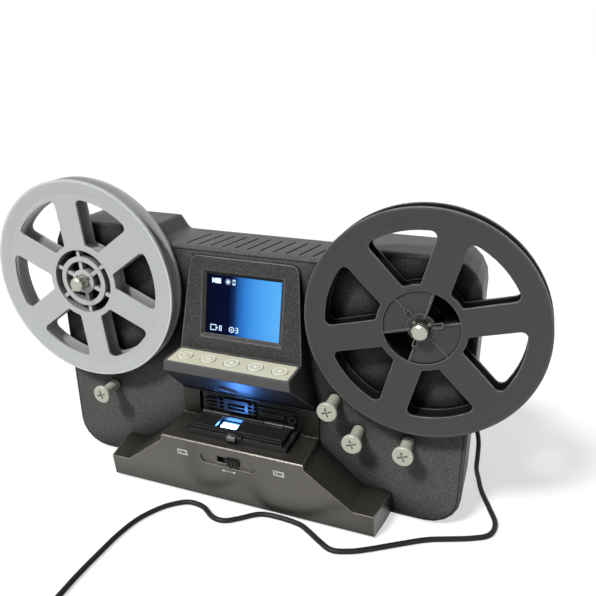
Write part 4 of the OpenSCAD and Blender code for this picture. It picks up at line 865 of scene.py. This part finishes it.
def rounded_outline(bends):
    """The outline's points and the way out at each, every corner drawn as the covers' arcs are."""
    points = []
    for k, (x, z, r) in enumerate(bends):
        here = Vector((x, z))
        u = (Vector(bends[k - 1][:2]) - here).normalized()
        v = (Vector(bends[(k + 1) % len(bends)][:2]) - here).normalized()
        half = math.acos(u.dot(v)) / 2
        mid = here + (u + v).normalized() * r / math.sin(half)
        first = here + u * r / math.tan(half) - mid
        last = here + v * r / math.tan(half) - mid
        start = math.atan2(first.y, first.x)
        sweep = (math.atan2(last.y, last.x) - start + math.pi) % (2 * math.pi) - math.pi
        for j in range(CORNER_STEPS + 1):
            a = start + sweep * j / CORNER_STEPS
            way = Vector((math.cos(a), math.sin(a)))
            points.append((mid + r * way, way if sweep > 0 else -way))
    return points


bm = bmesh.new()
cover_line = rounded_outline(COVER_CORNERS)
rows = [[bm.verts.new((at.x - inset * way.x, y, at.y - inset * way.y)) for at, way in cover_line]
        for inset, y in SEAM_SECTION]
skin(bm, rows)
piece("cover_seam", bm, cord_mat)


# Screen icons, on the tilted face: a camera, an exposure sun with 0, a film frame with 8 and a reel with 3
BEND_Y = -18
SHELF_Z = strip_high[2]
BEZEL_TOP = housing_high[2]
BEZEL_Y = -7.8
TILT = math.atan2(BEZEL_Y - BEND_Y, BEZEL_TOP - SHELF_Z)
SCREEN_UP = 28.4
SCREEN_DEPTH = 3.30
ICON_T = 0.06
TOP_ROW = 14.1
LOW_ROW = -14.4
CAMERA_ICON_X = -17.2
CAMERA_ICON = (-2, 2, -1.5, 1.5)
CAMERA_ICON_LENS = [(-3.7, -1.7), (-2.1, -0.7), (-2.1, 0.7), (-3.7, 1.7)]
SUN_ICON_X = -10.6
SUN_ICON_R = 0.9
SUN_RAYS = 8
SUN_RAY = (-0.15, 0.15, 1.25, 1.9)
FRAME_ICON_X = -19.2
FRAME_ICON = (-2, 2, -1.8, 1.8)
FRAME_ICON_LINE = 0.4
FRAME_ICON_NOTCH = (2.3, 2.9, -0.4, 0.4)
REEL_ICON_X = -7.2
REEL_ICON_IN_R = 1.3
REEL_ICON_OUT_R = 1.75
REEL_ICON_HUB_R = 0.45
NUMBER_H = 3.2
NUMBER_W = NUMBER_H * 0.52
NUMBER_BAR = NUMBER_H * 0.13
NUMBERS = (("abcdef", -7.6, TOP_ROW), ("abcdefg", -15.4, LOW_ROW), ("abcdg", -4.6, LOW_ROW))

on_bezel = Matrix.Translation((0, BEND_Y, SHELF_Z)) @ Matrix.Rotation(-TILT, 4, "X")


def on_screen(x, z):
    return on_bezel @ Matrix.Translation((x, SCREEN_DEPTH, SCREEN_UP + z))


def number(bm, bars, place):
    """A plain number of up to seven bars, with its lower left corner at the place."""
    low_mid = (NUMBER_H - NUMBER_BAR) / 2
    high_mid = (NUMBER_H + NUMBER_BAR) / 2
    top = NUMBER_H - NUMBER_BAR
    right = NUMBER_W - NUMBER_BAR
    spans = {"a": (0, NUMBER_W, top, NUMBER_H), "g": (0, NUMBER_W, low_mid, high_mid),
             "d": (0, NUMBER_W, 0, NUMBER_BAR), "f": (0, NUMBER_BAR, high_mid, top),
             "b": (right, NUMBER_W, high_mid, top), "e": (0, NUMBER_BAR, NUMBER_BAR, low_mid),
             "c": (right, NUMBER_W, NUMBER_BAR, low_mid)}
    for bar in bars:
        box(bm, *spans[bar], ICON_T, place)


bm = bmesh.new()
camera_icon = on_screen(CAMERA_ICON_X, TOP_ROW)
box(bm, *CAMERA_ICON, ICON_T, camera_icon)
prism(bm, CAMERA_ICON_LENS, ICON_T, camera_icon)
sun_icon = on_screen(SUN_ICON_X, TOP_ROW)
disc(bm, SUN_ICON_R, ICON_T, sun_icon)
for k in range(SUN_RAYS):
    box(bm, *SUN_RAY, ICON_T, sun_icon @ Matrix.Rotation(2 * math.pi * k / SUN_RAYS, 4, "Y"))
frame_icon = on_screen(FRAME_ICON_X, LOW_ROW)
frame_line(bm, *FRAME_ICON, FRAME_ICON_LINE, ICON_T, frame_icon)
box(bm, *FRAME_ICON_NOTCH, ICON_T, frame_icon)
reel_icon = on_screen(REEL_ICON_X, LOW_ROW)
ring(bm, REEL_ICON_IN_R, REEL_ICON_OUT_R, ICON_T, reel_icon, steps=32)
disc(bm, REEL_ICON_HUB_R, ICON_T, reel_icon)
for bars, x, row in NUMBERS:
    number(bm, bars, on_screen(x, row - NUMBER_H / 2))
piece("screen_icons", bm, icon_mat)


# Keys: a raised ring and a pictogram on each
STRIP_MID_Y = (strip_low[1] + strip_high[1]) / 2
KEY_TOP = strip_high[2] + 0.35
KEY_PITCH = 15
MID_KEY = 3
KEY_RING_IN_R = 3.75
KEY_RING_OUT_R = 4.3
KEY_RING_LIFT = 0.05
MARK_LIFT = 0.22
MARK_T = 0.4
MARK_LINE_HALF = 0.2
POWER_IN_R = 1.0
POWER_OUT_R = 1.4
POWER_GAP = 60
POWER_BAR_Z = (0.3, 1.7)
MENU_HALF = 1.5
MENU_ROWS = (-0.9, 0, 0.9)
ARROW_HALF = 1.4
ARROW_FOOT = 0.9
ARROW_TIP = 1.3
RECORD_DOT_R = 0.7
RECORD_IN_R = 1.2
RECORD_OUT_R = 1.5


def on_key(i, lift):
    flat = Matrix.Rotation(math.radians(-90), 4, "X")
    return Matrix.Translation(((i - MID_KEY) * KEY_PITCH, STRIP_MID_Y, KEY_TOP + lift)) @ flat


def power_mark(bm, place):
    start = 90 + POWER_GAP / 2
    ring(bm, POWER_IN_R, POWER_OUT_R, MARK_T, place, start=start, sweep=360 - POWER_GAP, steps=24)
    box(bm, -MARK_LINE_HALF, MARK_LINE_HALF, *POWER_BAR_Z, MARK_T, place)


def menu_mark(bm, place):
    for z in MENU_ROWS:
        box(bm, -MENU_HALF, MENU_HALF, z - MARK_LINE_HALF, z + MARK_LINE_HALF, MARK_T, place)


def arrow(bm, place, way):
    outline = [(-ARROW_HALF, -ARROW_FOOT * way), (ARROW_HALF, -ARROW_FOOT * way), (0, ARROW_TIP * way)]
    prism(bm, outline, MARK_T, place)


def up_mark(bm, place):
    arrow(bm, place, 1)


def down_mark(bm, place):
    arrow(bm, place, -1)


def record_mark(bm, place):
    disc(bm, RECORD_DOT_R, MARK_T, place)
    ring(bm, RECORD_IN_R, RECORD_OUT_R, MARK_T, place, steps=32)


for i, mark in enumerate((power_mark, menu_mark, up_mark, down_mark, record_mark), 1):
    bm = bmesh.new()
    ring(bm, KEY_RING_IN_R, KEY_RING_OUT_R, MARK_T, on_key(i, KEY_RING_LIFT))
    mark(bm, on_key(i, MARK_LIFT))
    piece(f"key_print_{i}", bm, print_mat, body=f"button_{i}")


# Prints on the leaning front of the base: one film frame at each end of the slider, and a pointer under it
BASE_FOOT_Y = -31
TABLE_Y = -37
LEAN = math.atan2(BASE_FOOT_Y - TABLE_Y, TABLE_Z - FOOT_TOP)
SELECT_UP = 33.3
PRINT_T = 0.12
PRINT_PROUD = 0.06
FILM_EDGE = (-3.4, 3.4, -1.9, 1.9)
FILM_LINE = 0.35
PICTURE_EDGE = (-1.4, 2.7, -1.2, 1.2)
PICTURE_LINE = 0.28
HOLE_X = (-2.7, -2.0)
HOLE_HALF = 0.4
FILM_PRINTS = (("left", -33, (-1.125, 1.125)), ("right", 31, (0,)))
POINTER_X = -2
POINTER_DROP = 7.6
POINTER_LINE = (-3.2, 3.2, -0.14, 0.14)
POINTER_TIP = 4.6
POINTER_BACK = 3.1
POINTER_HALF = 0.9

on_front = Matrix.Translation((0, BASE_FOOT_Y, FOOT_TOP)) @ Matrix.Rotation(LEAN, 4, "X")
for name, x, holes in FILM_PRINTS:
    bm = bmesh.new()
    spot = on_front @ Matrix.Translation((x, -PRINT_PROUD, SELECT_UP))
    frame_line(bm, *FILM_EDGE, FILM_LINE, PRINT_T, spot)
    for z in holes:
        box(bm, *HOLE_X, z - HOLE_HALF, z + HOLE_HALF, PRINT_T, spot)
    frame_line(bm, *PICTURE_EDGE, PICTURE_LINE, PRINT_T, spot)
    piece(f"film_print_{name}", bm, white_mat)

bm = bmesh.new()
spot = on_front @ Matrix.Translation((POINTER_X, -PRINT_PROUD, SELECT_UP - POINTER_DROP))
box(bm, *POINTER_LINE, PRINT_T, spot)
for side in (-1, 1):
    back = side * POINTER_BACK
    prism(bm, [(side * POINTER_TIP, 0), (back, POINTER_HALF), (back, -POINTER_HALF)], PRINT_T, spot)
piece("slide_print", bm, white_mat)


# Tie round the put-away coil
TIE_W = 5.0
TIE_T = 0.5
TIE_LOW = 0.05
TIE_HIGH = 7.4
TIE_IN_R = 9.5
TIE_OUT_R = 22.6
TIE_ROUND = 1.6
TIE_STEPS = 6
TIE_TURN = 35
TIE_SMOOTH = 40
TIE_CORNERS = ((TIE_OUT_R - TIE_ROUND, TIE_HIGH - TIE_ROUND), (TIE_IN_R + TIE_ROUND, TIE_HIGH - TIE_ROUND),
               (TIE_IN_R + TIE_ROUND, TIE_LOW + TIE_ROUND), (TIE_OUT_R - TIE_ROUND, TIE_LOW + TIE_ROUND))


def tie_outside():
    """The tie's outer line, by the distance from the coil's middle and the height."""
    points = []
    for quarter, (x, z) in enumerate(TIE_CORNERS):
        for k in range(TIE_STEPS + 1):
            a = math.radians(90 * quarter + 90 * k / TIE_STEPS)
            points.append((x + TIE_ROUND * math.cos(a), z + TIE_ROUND * math.sin(a)))
    return points


def tie_inside(x, z):
    """The point of the tie's inner line that lies under one of its outer line."""
    mid_x = (TIE_IN_R + TIE_OUT_R) / 2
    mid_z = (TIE_LOW + TIE_HIGH) / 2
    share_x = 1 - 2 * TIE_T / (TIE_OUT_R - TIE_IN_R)
    share_z = 1 - 2 * TIE_T / (TIE_HIGH - TIE_LOW)
    return mid_x + (x - mid_x) * share_x, mid_z + (z - mid_z) * share_z


bm = bmesh.new()
on_coil = Matrix.Translation((COIL_X, COIL_Y, 0)) @ Matrix.Rotation(math.radians(TIE_TURN), 4, "Z")
outside = tie_outside()
inside = [tie_inside(x, z) for x, z in outside]
loops = ((outside, -TIE_W / 2), (outside, TIE_W / 2), (inside, TIE_W / 2), (inside, -TIE_W / 2))
skin(bm, [[bm.verts.new(on_coil @ Vector((x, y, z))) for x, z in line] for line, y in loops])
tie = piece("cord_tie", bm, cord_mat, smooth=TIE_SMOOTH)


# Pale floor that shows as white and keeps the shadow
FLOOR_HALF = 30
FLOOR_Z = -0.0001
FLOOR_CELLS = 4
FLOOR_GLOW = 1.42
FLOOR_GREYS = ((0.41, 0.41, 0.408), (0.43, 0.43, 0.428))

floor_mesh = bpy.data.meshes.new("floor")
bm = bmesh.new()
bmesh.ops.create_grid(bm, x_segments=FLOOR_CELLS, y_segments=FLOOR_CELLS, size=FLOOR_HALF)
bmesh.ops.translate(bm, verts=bm.verts, vec=(0, 0, FLOOR_Z))
bm.to_mesh(floor_mesh)
bm.free()
floor = bpy.data.objects.new("floor", floor_mesh)
scene.collection.objects.link(floor)
floor_look = Shader("floor_pale")
pale = floor_look.mix(floor_look.noise(3, detail=2.0), *FLOOR_GREYS)
floor_look.feed("Base Color", pale)
floor_look.feed("Emission Color", pale)
floor_look.feed("Emission Strength", floor_look.math("MULTIPLY", floor_look.seen(), FLOOR_GLOW))
floor_look.set(Roughness=0.7, Specular_IOR_Level=0.2)
floor_mesh.materials.append(floor_look.mat)


# Soft surroundings, brighter on the left and front, that show as white
WORLD_COLOUR = (0.97, 0.985, 1.0)
WORLD_BRIGHT_WAY = (-0.55, -0.75, 0.35)
WORLD_LEAST = 0.06
WORLD_MOST = 0.42

world = bpy.data.worlds.new("studio")
scene.world = world
world.use_nodes = True
studio = Nodes(world.node_tree)
toward = studio.add("ShaderNodeVectorMath", operation="DOT_PRODUCT")
toward.inputs[1].default_value = Vector(WORLD_BRIGHT_WAY).normalized()
studio.link(studio.add("ShaderNodeTexCoord").outputs["Generated"], toward.inputs[0])
lighting = studio.add("ShaderNodeBackground")
studio.put(lighting.inputs["Color"], WORLD_COLOUR)
world_level = studio.remap(toward.outputs["Value"], -1, 1, WORLD_LEAST, WORLD_MOST)
studio.link(world_level, lighting.inputs["Strength"])
shown = studio.add("ShaderNodeBackground")
studio.put(shown.inputs["Color"], WHITE)
mixer = studio.add("ShaderNodeMixShader")
studio.link(studio.seen(), mixer.inputs[0])
studio.link(lighting.outputs[0], mixer.inputs[1])
studio.link(shown.outputs[0], mixer.inputs[2])
studio.link(mixer.outputs[0], studio.add("ShaderNodeOutputWorld").inputs[0])


# Key light from the upper left and front
SUN_ENERGY = 3.5
SUN_ANGLE = 10
SUN_COLOUR = (1.0, 0.985, 0.96)
SUN_WAY = (0.26, 0.60, -0.76)

sun_data = bpy.data.lights.new("key_light", "SUN")
sun_data.energy = SUN_ENERGY
sun_data.angle = math.radians(SUN_ANGLE)
sun_data.color = SUN_COLOUR
sun = bpy.data.objects.new("key_light", sun_data)
scene.collection.objects.link(sun)
sun.rotation_euler = Vector(SUN_WAY).to_track_quat("-Z", "Y").to_euler()

scene.view_settings.view_transform = "Standard"
